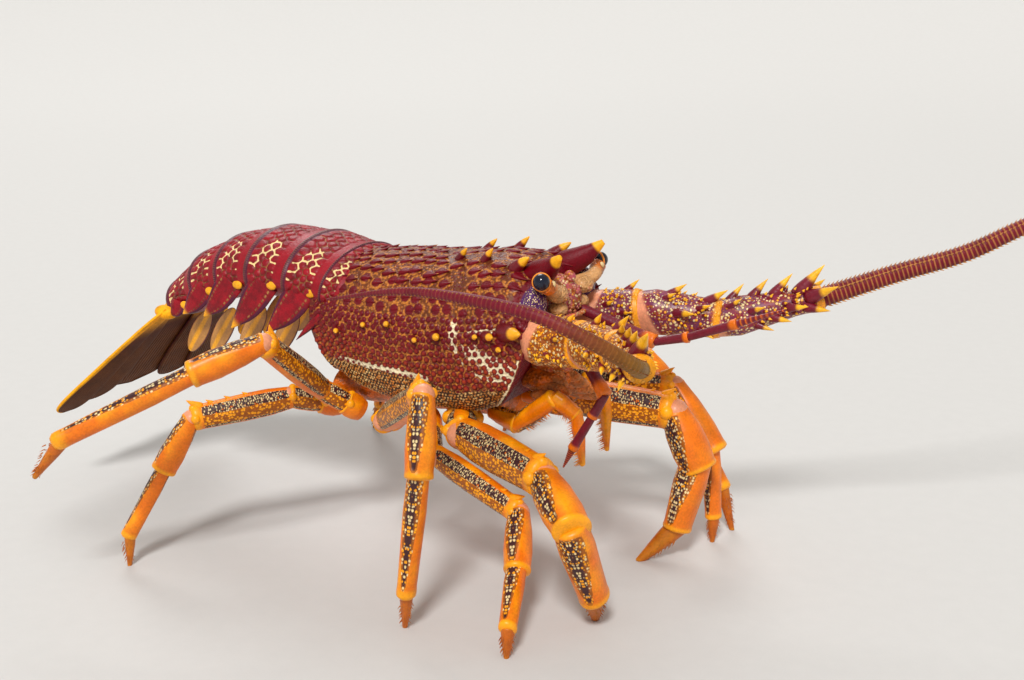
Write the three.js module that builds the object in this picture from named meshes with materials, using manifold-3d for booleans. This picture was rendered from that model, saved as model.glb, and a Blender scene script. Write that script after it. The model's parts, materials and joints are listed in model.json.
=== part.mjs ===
import * as THREE from 'three';
import { mergeVertices } from 'three/addons/utils/BufferGeometryUtils.js';
import loadManifold from 'manifold-3d';

// Red spiny lobster, life size, walking pose.
// Millimetres. +X is forward, +Y is the animal's left, +Z is up, and the feet stand on z = 0.

const wasm = await loadManifold();
wasm.setup();

// The scene's origin is the middle of the footprint of the whole animal, feelers included.
const ORIGIN_X = 126;
const ORIGIN_Y = 20;

// Even gap between neighbouring pieces.
const GAP = 0.3;

// Faces round a section, by the size of the piece.
const SHELL_SIDES = 24;
const ABDOMEN_SIDES = 18;
const LIMB_SIDES = 8;
const SPINE_SIDES = 4;

const v = (x, y, z) => new THREE.Vector3(x, y, z);
const mirrored = (point, side) => v(point.x, point.y * side, point.z);

// Carapace: keys are [x, value] along the body.
const CARAPACE_REAR = -7;
const CARAPACE_FRONT = 106;
const REAR_LOBE = 10;
const FRONT_CHEEK = 5;
const FRONT_UNDERCUT = 16;
const CARAPACE_TOP = [[-20, 141], [-7, 144], [10, 147], [34, 149], [60, 151], [82, 154], [96, 153], [106, 148]];
const CARAPACE_BOTTOM = [[-17, 104], [-9, 94], [9, 85], [28, 82], [54, 81.5], [80, 83], [101, 91], [110, 104]];
const CARAPACE_HALF_WIDTH = [[-20, 33], [-7, 35], [20, 38.5], [50, 39.5], [80, 39], [100, 37], [112, 35]];
const CARAPACE_RINGS = 15;
const BELLY_RISE = 4;
const GROOVE_AT = 52;
const GROOVE_DEPTH = 1.6;
const GROOVE_WIDTH = 5;
const GROOVE_SWEEP = 26;
const WAIST_SHARE = 0.47;
// How full the section is: powers under 1 make it boxier.
const UPPER_SIDE_POWER = 0.92;
const LOWER_SIDE_POWER = 0.42;
const ROOF_POWER = 0.95;
const FLOOR_POWER = 0.55;
const BELLY_POWER = 6;

// Spines of the carapace. The large ones come in pairs: [x, degrees from the top, length, width].
const LARGE_SPINES = [[93, 21, 8, 6], [76, 20, 7, 5], [60, 16, 6, 4.5], [101, 78, 12, 8], [91, 80, 7, 6],
  [96, 94, 5, 4.5], [84, 66, 5, 4.5], [63, 84, 6, 5], [51, 88, 5, 4.5], [34, 80, 5, 4.5], [20, 83, 5, 4.5],
  [2, 93, 5, 4.5]];
const LARGE_LEAN = 0.8;
// Step along and round the carapace for finding its slope.
const NUDGE = 0.02;
const SMALL_ROWS = 8;
const SMALL_FIRST_ROW = 8;
const SMALL_ROW_STEP = 11;
const SMALL_COLUMNS = [9, 27, 45, 62];
const SMALL_LENGTH = 4.8;
const SMALL_WIDTH = 3.2;
const SMALL_LEAN = 1.5;
const SMALL_SPREAD = 2.5;
const SMALL_STAGGER = 8;

// Abdomen: the middle line, the half width, and the height above and below that line, at the
// front of each segment and at the end of the last.
const ABDOMEN_LINE = [v(1, 0, 126), v(-10, 0, 128), v(-34, 0, 130.5), v(-60, 0, 130), v(-83, 0, 125),
  v(-104, 0, 117), v(-127, 0, 103)];
const ABDOMEN_HALF_WIDTH = [33, 34, 34, 32.5, 30, 27, 21];
const ABDOMEN_ABOVE = [18, 19, 20.5, 21, 20, 18, 14];
const ABDOMEN_BELOW = [15, 15, 15, 14, 13, 11, 7];
const TERGITE_STEP = 1.2;
const PLEURON_TIP = [v(-24, 36, 103), v(-42, 38, 105), v(-66, 37.5, 104), v(-87, 35.5, 107),
  v(-106, 31.5, 105), v(-121, 26, 101)];
const PLEURON_WIDTH = [6, 17, 17, 16, 14, 11];
const PLEURON_THICKNESS = 2.4;

// Tail fan: it leaves the last segment and slopes down to the rear.
const FAN_HINGE = v(-129, 0, 104);
const FAN_SLOPE = THREE.MathUtils.degToRad(47);
const BLADE_THICKNESS = 1.6;
const BLADE_SPACING = 2.3;
const RIB_HEIGHT = 2.2;
const RIB_TIP = 0.2;
const TELSON_RIBS = [[[4, 0], [74, 0]], [[10, 8], [66, 11]], [[10, -8], [66, -11]]];
const INNER_RIBS = [[[10, 17], [72, 31]], [[24, 24], [66, 26]]];
const OUTER_RIBS = [[[27, 33], [72, 48]], [[34, 39], [68, 53]]];

// Sternum: the shield between the legs, wide behind and narrow in front.
const STERNUM_REAR = -10;
const STERNUM_FRONT = 78;
const STERNUM_REAR_WIDTH = 50;
const STERNUM_FRONT_WIDTH = 26;
const STERNUM_HEIGHT = 78;
const STERNUM_CLIMB = 3;
const STERNUM_DEPTH = 20;
const STERNUM_POWER = 0.7;

// Walking legs of one side: the joints from hip to foot and the widths of merus, carpus,
// propodus and dactyl. The sides differ because the animal is in stride.
const LEGS_RIGHT = [
  { joints: [v(66, -20, 75), v(77, -40, 72), v(132, -56, 66), v(157, -74, 53), v(157, -54, 14), v(153, -46, -1)],
    widths: [19.5, 19.5, 18.5, 12] },
  { joints: [v(48, -23, 72), v(67, -48, 61), v(116, -51, 45), v(127, -71, 26), v(138, -97, 12), v(138, -98, -1)],
    widths: [12.5, 14, 10.5, 8] },
  { joints: [v(30, -26, 70), v(41, -52, 76), v(91, -88, 107), v(96, -100, 73), v(88, -101, 17), v(84, -97, -1)],
    widths: [14, 14.5, 11.5, 8] },
  { joints: [v(10, -28, 69), v(-2, -46, 84), v(5, -92, 119), v(-17, -118, 107), v(-65, -157, 78), v(-77, -160, 60)],
    widths: [12.5, 13.5, 10.5, 7.6] },
  { joints: [v(-4, -26, 70), v(-20, -49, 78), v(-49, -87, 72), v(-60, -98, 46), v(-72, -113, 14), v(-71, -114, -1)],
    widths: [13.5, 12.5, 9, 6.8] },
];
const LEGS_LEFT = [
  { joints: [v(66, 20, 75), v(92, 35, 74), v(149, 41, 72), v(163, 42, 44), v(155, 33, 14), v(141, 19, -1)],
    widths: [19.5, 19.5, 18, 11.5] },
  { joints: [v(48, 23, 72), v(76, 43, 80), v(138, 64, 78), v(163, 62, 47), v(163, 60, 12), v(163, 59, -1)],
    widths: [12.5, 14, 10.5, 8] },
  { joints: [v(30, 26, 70), v(52, 54, 76), v(108, 88, 84), v(132, 88, 58), v(160, 80, 20), v(166, 78, -1)],
    widths: [13, 14, 10.5, 8] },
  { joints: [v(10, 28, 69), v(6, 52, 84), v(22, 112, 93), v(14, 128, 61), v(-12, 148, 15), v(-20, 151, -1)],
    widths: [12.5, 13, 10, 7.2] },
  { joints: [v(-4, 26, 70), v(-20, 50, 80), v(-46, 84, 84), v(-64, 94, 60), v(-88, 112, 16), v(-94, 114, -1)],
    widths: [12.5, 12.5, 9, 6.8] },
];

// Overlaps of the leg segments, as shares of their lengths, and the hip's width against the merus.
const HIP_SHARE = 0.42;
const HIP_WIDTH = 0.9;
const HIP_SWELL = 1.15;
const HIP_OVERLAP = 0.3;
const KNEE_OVERLAP = 0.12;
const CARPUS_OVERLAP = 0.04;
const ANKLE_OVERLAP = 0.16;
const WRIST_OVERLAP = 0.08;
const LEG_FLATNESS = 0.86;

// A blunt spine on top of each merus, at its far end.
const MERUS_SPINE_AT = 0.92;
const MERUS_SPINE_ROOT = 0.44;
const MERUS_SPINE_LEAN = 1.2;
const MERUS_SPINE_LENGTH = 6;
const MERUS_SPINE_WIDTH = 4.6;

// Feelers: joints of the three basal segments, and the route of the whip that follows.
const PEDUNCLE_RIGHT = [v(104, -24, 119), v(138, -31, 122), v(167, -51, 128), v(190, -79, 131)];
const PEDUNCLE_LEFT = [v(104, 23, 119), v(136, 30, 124), v(172, 41, 122), v(213, 63, 133)];
const PEDUNCLE_WIDTH = [23, 21, 19, 13];
const PEDUNCLE_HEIGHT = [24, 22, 19, 12];
// Spines of each basal segment: [share of its length, degrees from the top outwards, length].
const PEDUNCLE_SPINES = [
  [[0.8, 15, 7], [0.75, 70, 6], [0.6, 110, 5]],
  [[0.35, 0, 8], [0.85, -12, 9], [0.9, 55, 8], [0.62, 95, 7], [0.9, 125, 7]],
  [[0.14, 8, 8], [0.36, 3, 9], [0.58, 0, 10], [0.84, -6, 13], [0.3, 70, 7], [0.6, 75, 8], [0.9, 68, 10],
    [0.45, 128, 7], [0.75, 135, 8]],
];
const PEDUNCLE_SPINE_SLIMNESS = 0.5;
const PEDUNCLE_SPINE_LEAN = 1.1;
const PEDUNCLE_SPINE_ROOT = 0.97;
const PEDUNCLE_OVERLAP = 0.12;
const PEDUNCLE_NECK = 0.8;
const PEDUNCLE_RIM = 0.9;
const WHIP_RIGHT = [v(190, -79, 131), v(196, -97, 138), v(188, -112, 149), v(169, -121, 159), v(140, -122, 162),
  v(104, -116, 160), v(56, -107, 149)];
const WHIP_LEFT = [v(213, 63, 133), v(243, 78, 145), v(270, 89, 155), v(293, 99, 168), v(345, 128, 196),
  v(398, 164, 226), v(438, 200, 250)];
const WHIP_WIDTH = [9.6, 8.2, 7.2, 6.6, 5.0, 3.2, 1.2];
const WHIP_SPLIT = [[0, 0.42], [0.42, 1]];
const WHIP_RINGS = 7;

// Small feelers between the large ones: joints and widths.
const ANTENNULE_RIGHT = [v(112, -8, 128), v(145, -24, 98), v(139, -25, 87), v(129, -25, 70), v(124, -25, 60)];
const ANTENNULE_LEFT = [v(112, 8, 128), v(153, 9, 116), v(169, 11, 120), v(192, 12, 129), v(214, 13, 138)];
const ANTENNULE_WIDTH = [6, 4.6, 4.4, 4, 2.6];
const ANTENNULE_TIP = 1.2;
const ANTENNULE_OVERLAP = 0.06;
const ANTENNULE_NECK = 0.85;

// Third maxillipeds under the mouth: joints and widths.
const MAXILLIPED = [v(78, 15, 77), v(95, 18, 74), v(115, 17, 90), v(125, 14, 82), v(127, 12, 57)];
const MAXILLIPED_WIDTH = [9, 10, 9, 7, 2.6];
const MAXILLIPED_OVERLAP = 0.1;
const MAXILLIPED_NECK = 0.8;
const MAXILLIPED_FLATNESS = 0.8;

// Horns above the eyes, and the eyes on their stalks.
const HORN = [v(94, 12.5, 143), v(104, 14, 149), v(112.5, 17.5, 153), v(119.5, 20.5, 157.5)];
const HORN_WIDTH = [14, 12, 8, 1.4];
const HORN_HEIGHT = [16, 16, 11, 1.8];
const EYE = v(114, 27.5, 147);
const EYE_RADIUS = 4.2;
const EYE_STALK = [v(108, 8, 138), v(115, 18, 141), v(114.5, 25, 145)];
const EYE_STALK_WIDTH = [7, 6.6, 7.6];

// Swimmerets under the abdomen.
const PLEOPOD_ROOT = [v(-34, 23, 112), v(-57, 22, 112), v(-79, 21, 108), v(-98, 20, 104)];
const PLEOPOD_LENGTH = [29, 31, 32, 30];
const PLEOPOD_LEAN = THREE.MathUtils.degToRad(36);
const PLEOPOD_WIDTH = 11.5;
const PLEOPOD_THICKNESS = 1.8;
const PLEOPOD_DROP = 0.46;

const COLOURS = {
  shell: 0x7a1c16,
  horn: 0x5a0a1c,
  abdomen: 0x8c1024,
  leg: 0xd9700f,
  peduncle: 0xb5651f,
  whip: 0x5c2430,
  eye: 0x10121c,
  blade: 0x6e2410,
  pleopod: 0xb07a34,
  mouth: 0xb45a1c,
};

function material(colour, roughness = 0.45) {
  return new THREE.MeshStandardMaterial({ color: colour, roughness, metalness: 0 });
}

// Turns a closed geometry into a solid, with its faces outwards.
function solid(geometry) {
  const bare = geometry.clone();
  bare.deleteAttribute('normal');
  bare.deleteAttribute('uv');
  const merged = mergeVertices(bare, 1e-4);
  const corners = Array.from(merged.index.array);
  const places = merged.attributes.position;
  const [a, b, c] = [v(0, 0, 0), v(0, 0, 0), v(0, 0, 0)];
  let volume = 0;
  for (let i = 0; i < corners.length; i += 3) {
    a.fromBufferAttribute(places, corners[i]);
    b.fromBufferAttribute(places, corners[i + 1]);
    c.fromBufferAttribute(places, corners[i + 2]);
    volume += a.dot(b.cross(c));
  }
  if (volume < 0) corners.reverse();
  const mesh = new wasm.Mesh({
    numProp: 3,
    vertProperties: new Float32Array(places.array),
    triVerts: new Uint32Array(corners),
  });
  return new wasm.Manifold(mesh);
}

function joined(pieces) {
  return pieces.reduce((whole, piece) => whole.add(piece));
}

// The largest closed surface of a solid.
function largest(whole) {
  const bodies = whole.decompose();
  return bodies.reduce((best, body) => (body.volume() > best.volume() ? body : best));
}

function mesh(name, whole, colour, roughness) {
  const body = largest(whole).getMesh();
  const geometry = new THREE.BufferGeometry();
  geometry.setAttribute('position', new THREE.BufferAttribute(new Float32Array(body.vertProperties), 3));
  geometry.setIndex(new THREE.BufferAttribute(new Uint32Array(body.triVerts), 1));
  geometry.computeVertexNormals();
  const piece = new THREE.Mesh(geometry, material(colour, roughness));
  piece.name = name;
  return piece;
}

// Value at x of a curve given as sorted keys [x, value].
function along(keys, x) {
  const last = keys.length - 1;
  if (x <= keys[0][0]) return keys[0][1];
  if (x >= keys[last][0]) return keys[last][1];
  const i = keys.findIndex((key) => key[0] >= x);
  const [x0, y0] = keys[i - 1];
  const [x1, y1] = keys[i];
  const t = (x - x0) / (x1 - x0);
  return y0 + (y1 - y0) * t;
}

// Value at t in 0..1 of evenly spaced values.
function evenly(values, t) {
  const place = t * (values.length - 1);
  const i = Math.min(Math.floor(place), values.length - 2);
  return values[i] + (values[i + 1] - values[i]) * (place - i);
}

// A closed skin over rings: place(t, angle) gives the point at t in 0..1 along the piece and at
// an angle round it, and each end is closed to the middle of its ring.
function loft(sides, rings, place) {
  const shape = new THREE.CylinderGeometry(1, 1, 1, sides, rings);
  const places = shape.attributes.position;
  const point = v(0, 0, 0);
  const step = (2 * Math.PI) / sides;
  const middle = (t) => {
    const sum = v(0, 0, 0);
    for (let i = 0; i < sides; i++) sum.add(place(t, i * step));
    return sum.divideScalar(sides);
  };
  const ends = [middle(0), middle(1)];
  for (let i = 0; i < places.count; i++) {
    point.fromBufferAttribute(places, i);
    const t = Math.round((0.5 - point.y) * rings) / rings;
    if (Math.hypot(point.x, point.z) < 0.5) {
      point.copy(ends[t < 0.5 ? 0 : 1]);
    } else {
      const turn = Math.round(Math.atan2(point.x, point.z) / step);
      point.copy(place(t, ((turn + sides) % sides) * step));
    }
    places.setXYZ(i, point.x, point.y, point.z);
  }
  return solid(shape);
}

// A limb-like piece along a curve. Widths lie across the curve and heights along `up`, both
// evenly spaced; `grow` swells the piece all round for cutting its neighbours.
function swept(curve, widths, heights, { sides = LIMB_SIDES, rings = 6, grow = 0, up = v(0, 0, 1) } = {}) {
  const place = (t, angle) => {
    const tangent = curve.getTangent(t);
    const side = up.clone().cross(tangent).normalize();
    const rise = tangent.clone().cross(side);
    const reach = t === 0 ? -grow : t === 1 ? grow : 0;
    const wide = evenly(widths, t) / 2 + grow;
    const tall = evenly(heights, t) / 2 + grow;
    return curve.getPoint(t)
      .addScaledVector(tangent, reach)
      .addScaledVector(side, wide * Math.sin(angle))
      .addScaledVector(rise, tall * Math.cos(angle));
  };
  return loft(sides, rings, place);
}

function curveThrough(points) {
  return points.length === 2
    ? new THREE.LineCurve3(points[0], points[1])
    : new THREE.CatmullRomCurve3(points, false, 'centripetal');
}

// Repeatable random numbers in -1..1.
let randomState = 7;
function wobble() {
  randomState = (randomState * 16807) % 2147483647;
  return (2 * randomState) / 2147483647 - 1;
}

// A tapered spine whose root is sunk below `foot`.
function spine(foot, direction, length, width) {
  const sink = width;
  const cone = new THREE.ConeGeometry(width / 2, length + sink, SPINE_SIDES);
  const heading = direction.clone().normalize();
  const turn = new THREE.Quaternion().setFromUnitVectors(v(0, 1, 0), heading);
  cone.applyQuaternion(turn);
  const centre = foot.clone().addScaledVector(heading, (length - sink) / 2);
  cone.translate(centre.x, centre.y, centre.z);
  return solid(cone);
}

// Carapace
function carapacePoint(t, angle, grow = 0) {
  const across = Math.sin(angle);
  const height = Math.cos(angle);
  const low = Math.max(0, -height);
  const rear = CARAPACE_REAR - REAR_LOBE * across ** 2 * (1 - low ** 2) - grow;
  const front = CARAPACE_FRONT + FRONT_CHEEK * across ** 2 - FRONT_UNDERCUT * low + grow;
  const x = rear + (front - rear) * t;
  const halfWidth = along(CARAPACE_HALF_WIDTH, x) + grow;
  const top = along(CARAPACE_TOP, x) + grow;
  const bottom = along(CARAPACE_BOTTOM, x) - grow;
  const waist = bottom + (top - bottom) * WAIST_SHARE;
  const bend = GROOVE_DEPTH * Math.exp(-(((x - GROOVE_AT - GROOVE_SWEEP * across ** 2) / GROOVE_WIDTH) ** 2));
  const sidePower = height > 0 ? UPPER_SIDE_POWER : LOWER_SIDE_POWER;
  const y = (halfWidth - bend) * Math.sign(across) * Math.abs(across) ** sidePower;
  const z = height > 0
    ? waist + (top - waist - bend) * height ** ROOF_POWER
    : waist - (waist - bottom) * low ** FLOOR_POWER + BELLY_RISE * low ** BELLY_POWER;
  return v(x, y, z);
}

function carapaceBase(grow = 0) {
  return loft(SHELL_SIDES, CARAPACE_RINGS, (t, angle) => carapacePoint(t, angle, grow));
}

// A spine on the carapace at x and an angle from the top, leaning forward by `lean`.
function shellSpine(x, angle, length, width, lean) {
  const turn = THREE.MathUtils.degToRad(angle);
  const [rear, front] = [carapacePoint(0, turn).x, carapacePoint(1, turn).x];
  const t = (x - rear) / (front - rear);
  const foot = carapacePoint(t, turn);
  const round = carapacePoint(t, turn + NUDGE).sub(carapacePoint(t, turn - NUDGE));
  const forward = carapacePoint(t + NUDGE, turn).sub(carapacePoint(t - NUDGE, turn)).normalize();
  const outward = forward.clone().cross(round).normalize();
  return spine(foot, outward.addScaledVector(forward, lean), length, width);
}

function carapaceSpines() {
  const spines = [];
  for (const side of [1, -1]) {
    for (const [x, angle, length, width] of LARGE_SPINES) {
      spines.push(shellSpine(x, side * angle, length, width, LARGE_LEAN));
    }
    for (let row = 0; row < SMALL_ROWS; row++) {
      const stagger = row % 2 ? SMALL_STAGGER : 0;
      for (const column of SMALL_COLUMNS) {
        const x = SMALL_FIRST_ROW + row * SMALL_ROW_STEP + SMALL_SPREAD * wobble();
        const angle = column + stagger + SMALL_SPREAD * wobble();
        spines.push(shellSpine(x, side * angle, SMALL_LENGTH, SMALL_WIDTH, SMALL_LEAN));
      }
    }
  }
  return spines;
}

// Horns and eyes
function horn(side, grow = 0) {
  const curve = curveThrough(HORN.map((point) => mirrored(point, side)));
  return swept(curve, HORN_WIDTH, HORN_HEIGHT, { rings: 5, grow });
}

function eyeStalk(side, grow = 0) {
  const curve = curveThrough(EYE_STALK.map((point) => mirrored(point, side)));
  return swept(curve, EYE_STALK_WIDTH, EYE_STALK_WIDTH, { rings: 3, grow });
}

function eye(side, grow = 0) {
  const ball = new THREE.SphereGeometry(EYE_RADIUS + grow, 10, 7);
  ball.translate(EYE.x, EYE.y * side, EYE.z);
  return solid(ball).add(eyeStalk(side, grow));
}

// Face: the plate that carries the eyes and small feelers, and the mouth below it.
const FACE_BLOCKS = [
  { at: v(104, 0, 134), size: v(28, 26, 22) },
  { at: v(102, 0, 112), size: v(34, 22, 36) },
  { at: v(98, 0, 94), size: v(32, 26, 16) },
];

function face(grow = 0) {
  return joined(FACE_BLOCKS.map(({ at, size }) => {
    const ball = new THREE.SphereGeometry(1, 10, 7);
    ball.scale(size.x / 2 + grow, size.y / 2 + grow, size.z / 2 + grow);
    ball.translate(at.x, at.y, at.z);
    return solid(ball);
  }));
}

// Abdomen
function abdomenSection(index, grow = 0) {
  const curve = new THREE.CatmullRomCurve3(ABDOMEN_LINE, false, 'centripetal');
  const count = ABDOMEN_LINE.length - 1;
  const place = (t, angle) => {
    const station = (index + t) / count;
    const at = curve.getPoint(station);
    const tangent = curve.getTangent(station);
    const rise = v(0, 1, 0).cross(tangent).multiplyScalar(-1).normalize();
    rise.multiplyScalar(Math.sign(rise.z));
    const lip = TERGITE_STEP * t;
    const wide = evenly(ABDOMEN_HALF_WIDTH, station) + grow + lip - TERGITE_STEP;
    const above = evenly(ABDOMEN_ABOVE, station) + grow + lip - TERGITE_STEP;
    const below = evenly(ABDOMEN_BELOW, station) + grow;
    const height = Math.cos(angle);
    const reach = t === 0 ? grow : t === 1 ? -grow - GAP : 0;
    return at
      .addScaledVector(tangent, -reach)
      .addScaledVector(v(0, 1, 0), wide * Math.sin(angle))
      .addScaledVector(rise, (height > 0 ? above : below) * height);
  };
  return loft(ABDOMEN_SIDES, 2, place);
}

function pleuron(index, side) {
  const front = ABDOMEN_LINE[index].clone().lerp(ABDOMEN_LINE[index + 1], 0.5);
  const root = v(front.x, side * (ABDOMEN_HALF_WIDTH[index] - 3), front.z - 1);
  const tip = mirrored(PLEURON_TIP[index], side);
  const curve = curveThrough([root, root.clone().lerp(tip, 0.5).add(v(2, side * 1.5, 0)), tip]);
  const wide = PLEURON_WIDTH[index];
  const widths = [wide, wide * 0.95, wide * 0.7, 1];
  const thicknesses = [PLEURON_THICKNESS * 1.6, PLEURON_THICKNESS, PLEURON_THICKNESS, 0.8];
  return swept(curve, widths, thicknesses, { rings: 4, up: v(0, side, 0) });
}

function abdomenSegment(index) {
  return joined([abdomenSection(index), pleuron(index, 1), pleuron(index, -1)]);
}

// Tail fan: outlines in the plane of the fan, s down the slope and y outwards.
const TELSON_OUTLINE = [[-6, 10], [30, 14], [62, 17], [77, 15], [81, 8]];
const INNER_OUTLINE = [[-4, 10], [20, 13], [60, 19], [78, 25], [81, 33], [76, 40], [48, 34], [16, 25], [2, 20]];
const OUTER_OUTLINE = [[-2, 14], [24, 26], [60, 38], [78, 45], [81, 54], [75, 61], [40, 48], [12, 34], [0, 26]];

function blade(outline, level, whole) {
  const corners = whole
    ? [...outline.map(([s, y]) => [s, -y]), ...outline.map(([s, y]) => [s, y]).reverse()]
    : outline;
  const shape = new THREE.Shape();
  shape.moveTo(...corners[0]);
  shape.splineThru(corners.slice(1).map((corner) => new THREE.Vector2(...corner)));
  const geometry = new THREE.ExtrudeGeometry(shape, {
    depth: BLADE_THICKNESS,
    bevelEnabled: false,
    curveSegments: 2,
  });
  geometry.translate(0, 0, level - BLADE_THICKNESS / 2);
  return geometry;
}

function rib([[s0, y0], [s1, y1]], level) {
  const length = Math.hypot(s1 - s0, y1 - y0);
  const ridge = new THREE.CylinderGeometry(RIB_TIP, RIB_HEIGHT / 2, length, SPINE_SIDES);
  ridge.rotateZ(Math.atan2(y1 - y0, s1 - s0) - Math.PI / 2);
  ridge.translate((s0 + s1) / 2, (y0 + y1) / 2, level + BLADE_THICKNESS / 2);
  return ridge;
}

function setOnFan(geometry, side) {
  geometry.scale(1, side, 1);
  const down = v(-Math.cos(FAN_SLOPE), 0, -Math.sin(FAN_SLOPE));
  const across = v(0, 1, 0);
  const frame = new THREE.Matrix4().makeBasis(down, across, down.clone().cross(across).multiplyScalar(-1));
  frame.setPosition(FAN_HINGE);
  geometry.applyMatrix4(frame);
  return solid(geometry);
}

function fanBlade(outline, ribs, level, side, whole = false) {
  const pieces = [blade(outline, level, whole), ...ribs.map((line) => rib(line, level))];
  return joined(pieces.map((piece) => setOnFan(piece, side)));
}

// Legs
const LEG_PROFILE = [0.82, 1, 1.02, 0.86];
const SHIN_PROFILE = [0.98, 1, 0.92, 0.84];
const FOOT_PROFILE = [0.95, 0.8, 0.56, 0.34];

function legPart(from, to, width, grow, { profile = LEG_PROFILE, flat = LEG_FLATNESS } = {}) {
  const widths = profile.map((share) => share * width * flat);
  const heights = profile.map((share) => share * width);
  const curve = new THREE.LineCurve3(from, to);
  return swept(curve, widths, heights, { rings: profile.length - 1, grow, up: v(0.02, 0.03, 1) });
}

function upperLeg({ joints, widths }, grow = 0) {
  const [hip, knee1, knee2] = joints;
  const [merus] = widths;
  const hipEnd = hip.clone().lerp(knee1, HIP_SHARE);
  const start = merus * HIP_WIDTH;
  return joined([
    legPart(hip, hipEnd, start * HIP_SWELL, grow),
    legPart(hipEnd.clone().lerp(hip, HIP_OVERLAP), knee1, start, grow),
    legPart(knee1.clone().lerp(hip, KNEE_OVERLAP), knee2, merus, grow),
  ]);
}

function merusSpine({ joints, widths }) {
  const [, start, knee] = joints;
  const [merus] = widths;
  const heading = knee.clone().sub(start).normalize();
  const rise = v(0, 0, 1).addScaledVector(heading, -heading.z).normalize();
  const foot = start.clone().lerp(knee, MERUS_SPINE_AT).addScaledVector(rise, merus * MERUS_SPINE_ROOT);
  return spine(foot, rise.addScaledVector(heading, MERUS_SPINE_LEAN), MERUS_SPINE_LENGTH, MERUS_SPINE_WIDTH);
}

function lowerLeg({ joints, widths }, grow = 0) {
  const [, , knee, ankle, wrist, toe] = joints;
  const [merus, carpus, propodus, dactyl] = widths;
  return joined([
    legPart(knee.clone().lerp(ankle, -CARPUS_OVERLAP), ankle, carpus, grow),
    legPart(ankle.clone().lerp(knee, ANKLE_OVERLAP), wrist, propodus, grow, { profile: SHIN_PROFILE }),
    legPart(wrist.clone().lerp(ankle, WRIST_OVERLAP), toe, dactyl, grow, { profile: FOOT_PROFILE }),
  ]);
}

function aboveFloor(whole) {
  return whole.trimByPlane([0, 0, 1], 0);
}

// Feelers
function peduncleSegment(points, index, grow = 0) {
  const curve = new THREE.LineCurve3(points[index].clone().lerp(points[index + 1], index ? -PEDUNCLE_OVERLAP : 0),
    points[index + 1]);
  const near = PEDUNCLE_WIDTH[index];
  const far = PEDUNCLE_WIDTH[index + 1];
  const tallNear = PEDUNCLE_HEIGHT[index];
  const tallFar = PEDUNCLE_HEIGHT[index + 1];
  const widths = [near * PEDUNCLE_NECK, near, (near + far) / 2, far, far * PEDUNCLE_RIM];
  const heights = [tallNear * PEDUNCLE_NECK, tallNear, (tallNear + tallFar) / 2, tallFar, tallFar * PEDUNCLE_RIM];
  return swept(curve, widths, heights, { sides: 10, rings: 4, grow });
}

function peduncleSpines(points, index, side) {
  const [from, to] = [points[index], points[index + 1]];
  const heading = to.clone().sub(from).normalize();
  const across = v(0, 0, 1).cross(heading).normalize();
  const rise = heading.clone().cross(across);
  return PEDUNCLE_SPINES[index].map(([share, degrees, length]) => {
    const turn = THREE.MathUtils.degToRad(degrees * side);
    const outward = across.clone().multiplyScalar(Math.sin(turn)).addScaledVector(rise, Math.cos(turn));
    const wide = evenly(PEDUNCLE_WIDTH.slice(index, index + 2), share) / 2;
    const foot = from.clone().lerp(to, share).addScaledVector(outward, wide * PEDUNCLE_SPINE_ROOT);
    const direction = outward.addScaledVector(heading, PEDUNCLE_SPINE_LEAN);
    return spine(foot, direction, length, length * PEDUNCLE_SPINE_SLIMNESS);
  });
}

function whip(points, [start, end], grow = 0) {
  const whole = new THREE.CatmullRomCurve3(points, false, 'centripetal');
  const part = new THREE.Curve();
  part.getPoint = (t) => whole.getPointAt(start + (end - start) * t);
  part.getTangent = (t) => whole.getTangentAt(start + (end - start) * t);
  const widths = [];
  for (let i = 0; i <= WHIP_RINGS; i++) widths.push(evenly(WHIP_WIDTH, start + ((end - start) * i) / WHIP_RINGS));
  return swept(part, widths, widths, { rings: WHIP_RINGS, grow });
}

function antennule(points, grow = 0) {
  const pieces = [];
  for (let i = 0; i < points.length - 1; i++) {
    const from = points[i].clone().lerp(points[i + 1], i ? -ANTENNULE_OVERLAP : 0);
    const last = i === points.length - 2;
    const width = ANTENNULE_WIDTH[i];
    const widths = [width * ANTENNULE_NECK, last ? ANTENNULE_TIP : width];
    pieces.push(swept(new THREE.LineCurve3(from, points[i + 1]), widths, widths, { sides: 6, rings: 1, grow }));
  }
  return joined(pieces);
}

function maxilliped(side, grow = 0) {
  const points = MAXILLIPED.map((point) => mirrored(point, side));
  const pieces = [];
  for (let i = 0; i < points.length - 1; i++) {
    const near = MAXILLIPED_WIDTH[i];
    const far = MAXILLIPED_WIDTH[i + 1];
    const heights = [near * MAXILLIPED_NECK, near, (near + far) / 2, far];
    const widths = heights.map((height) => height * MAXILLIPED_FLATNESS);
    const curve = new THREE.LineCurve3(points[i].clone().lerp(points[i + 1], i ? -MAXILLIPED_OVERLAP : 0), points[i + 1]);
    pieces.push(swept(curve, widths, heights, { rings: 3, grow }));
  }
  return joined(pieces);
}

function pleopod(index, side) {
  const root = mirrored(PLEOPOD_ROOT[index], side);
  const length = PLEOPOD_LENGTH[index];
  const leaf = new THREE.SphereGeometry(1, 8, 6);
  leaf.rotateX(Math.PI / 2);
  leaf.scale(PLEOPOD_WIDTH / 2, PLEOPOD_THICKNESS / 2, length / 2);
  leaf.translate(0, 0, -length * PLEOPOD_DROP);
  leaf.rotateY(PLEOPOD_LEAN);
  leaf.translate(root.x, root.y, root.z);
  return solid(leaf);
}

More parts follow.
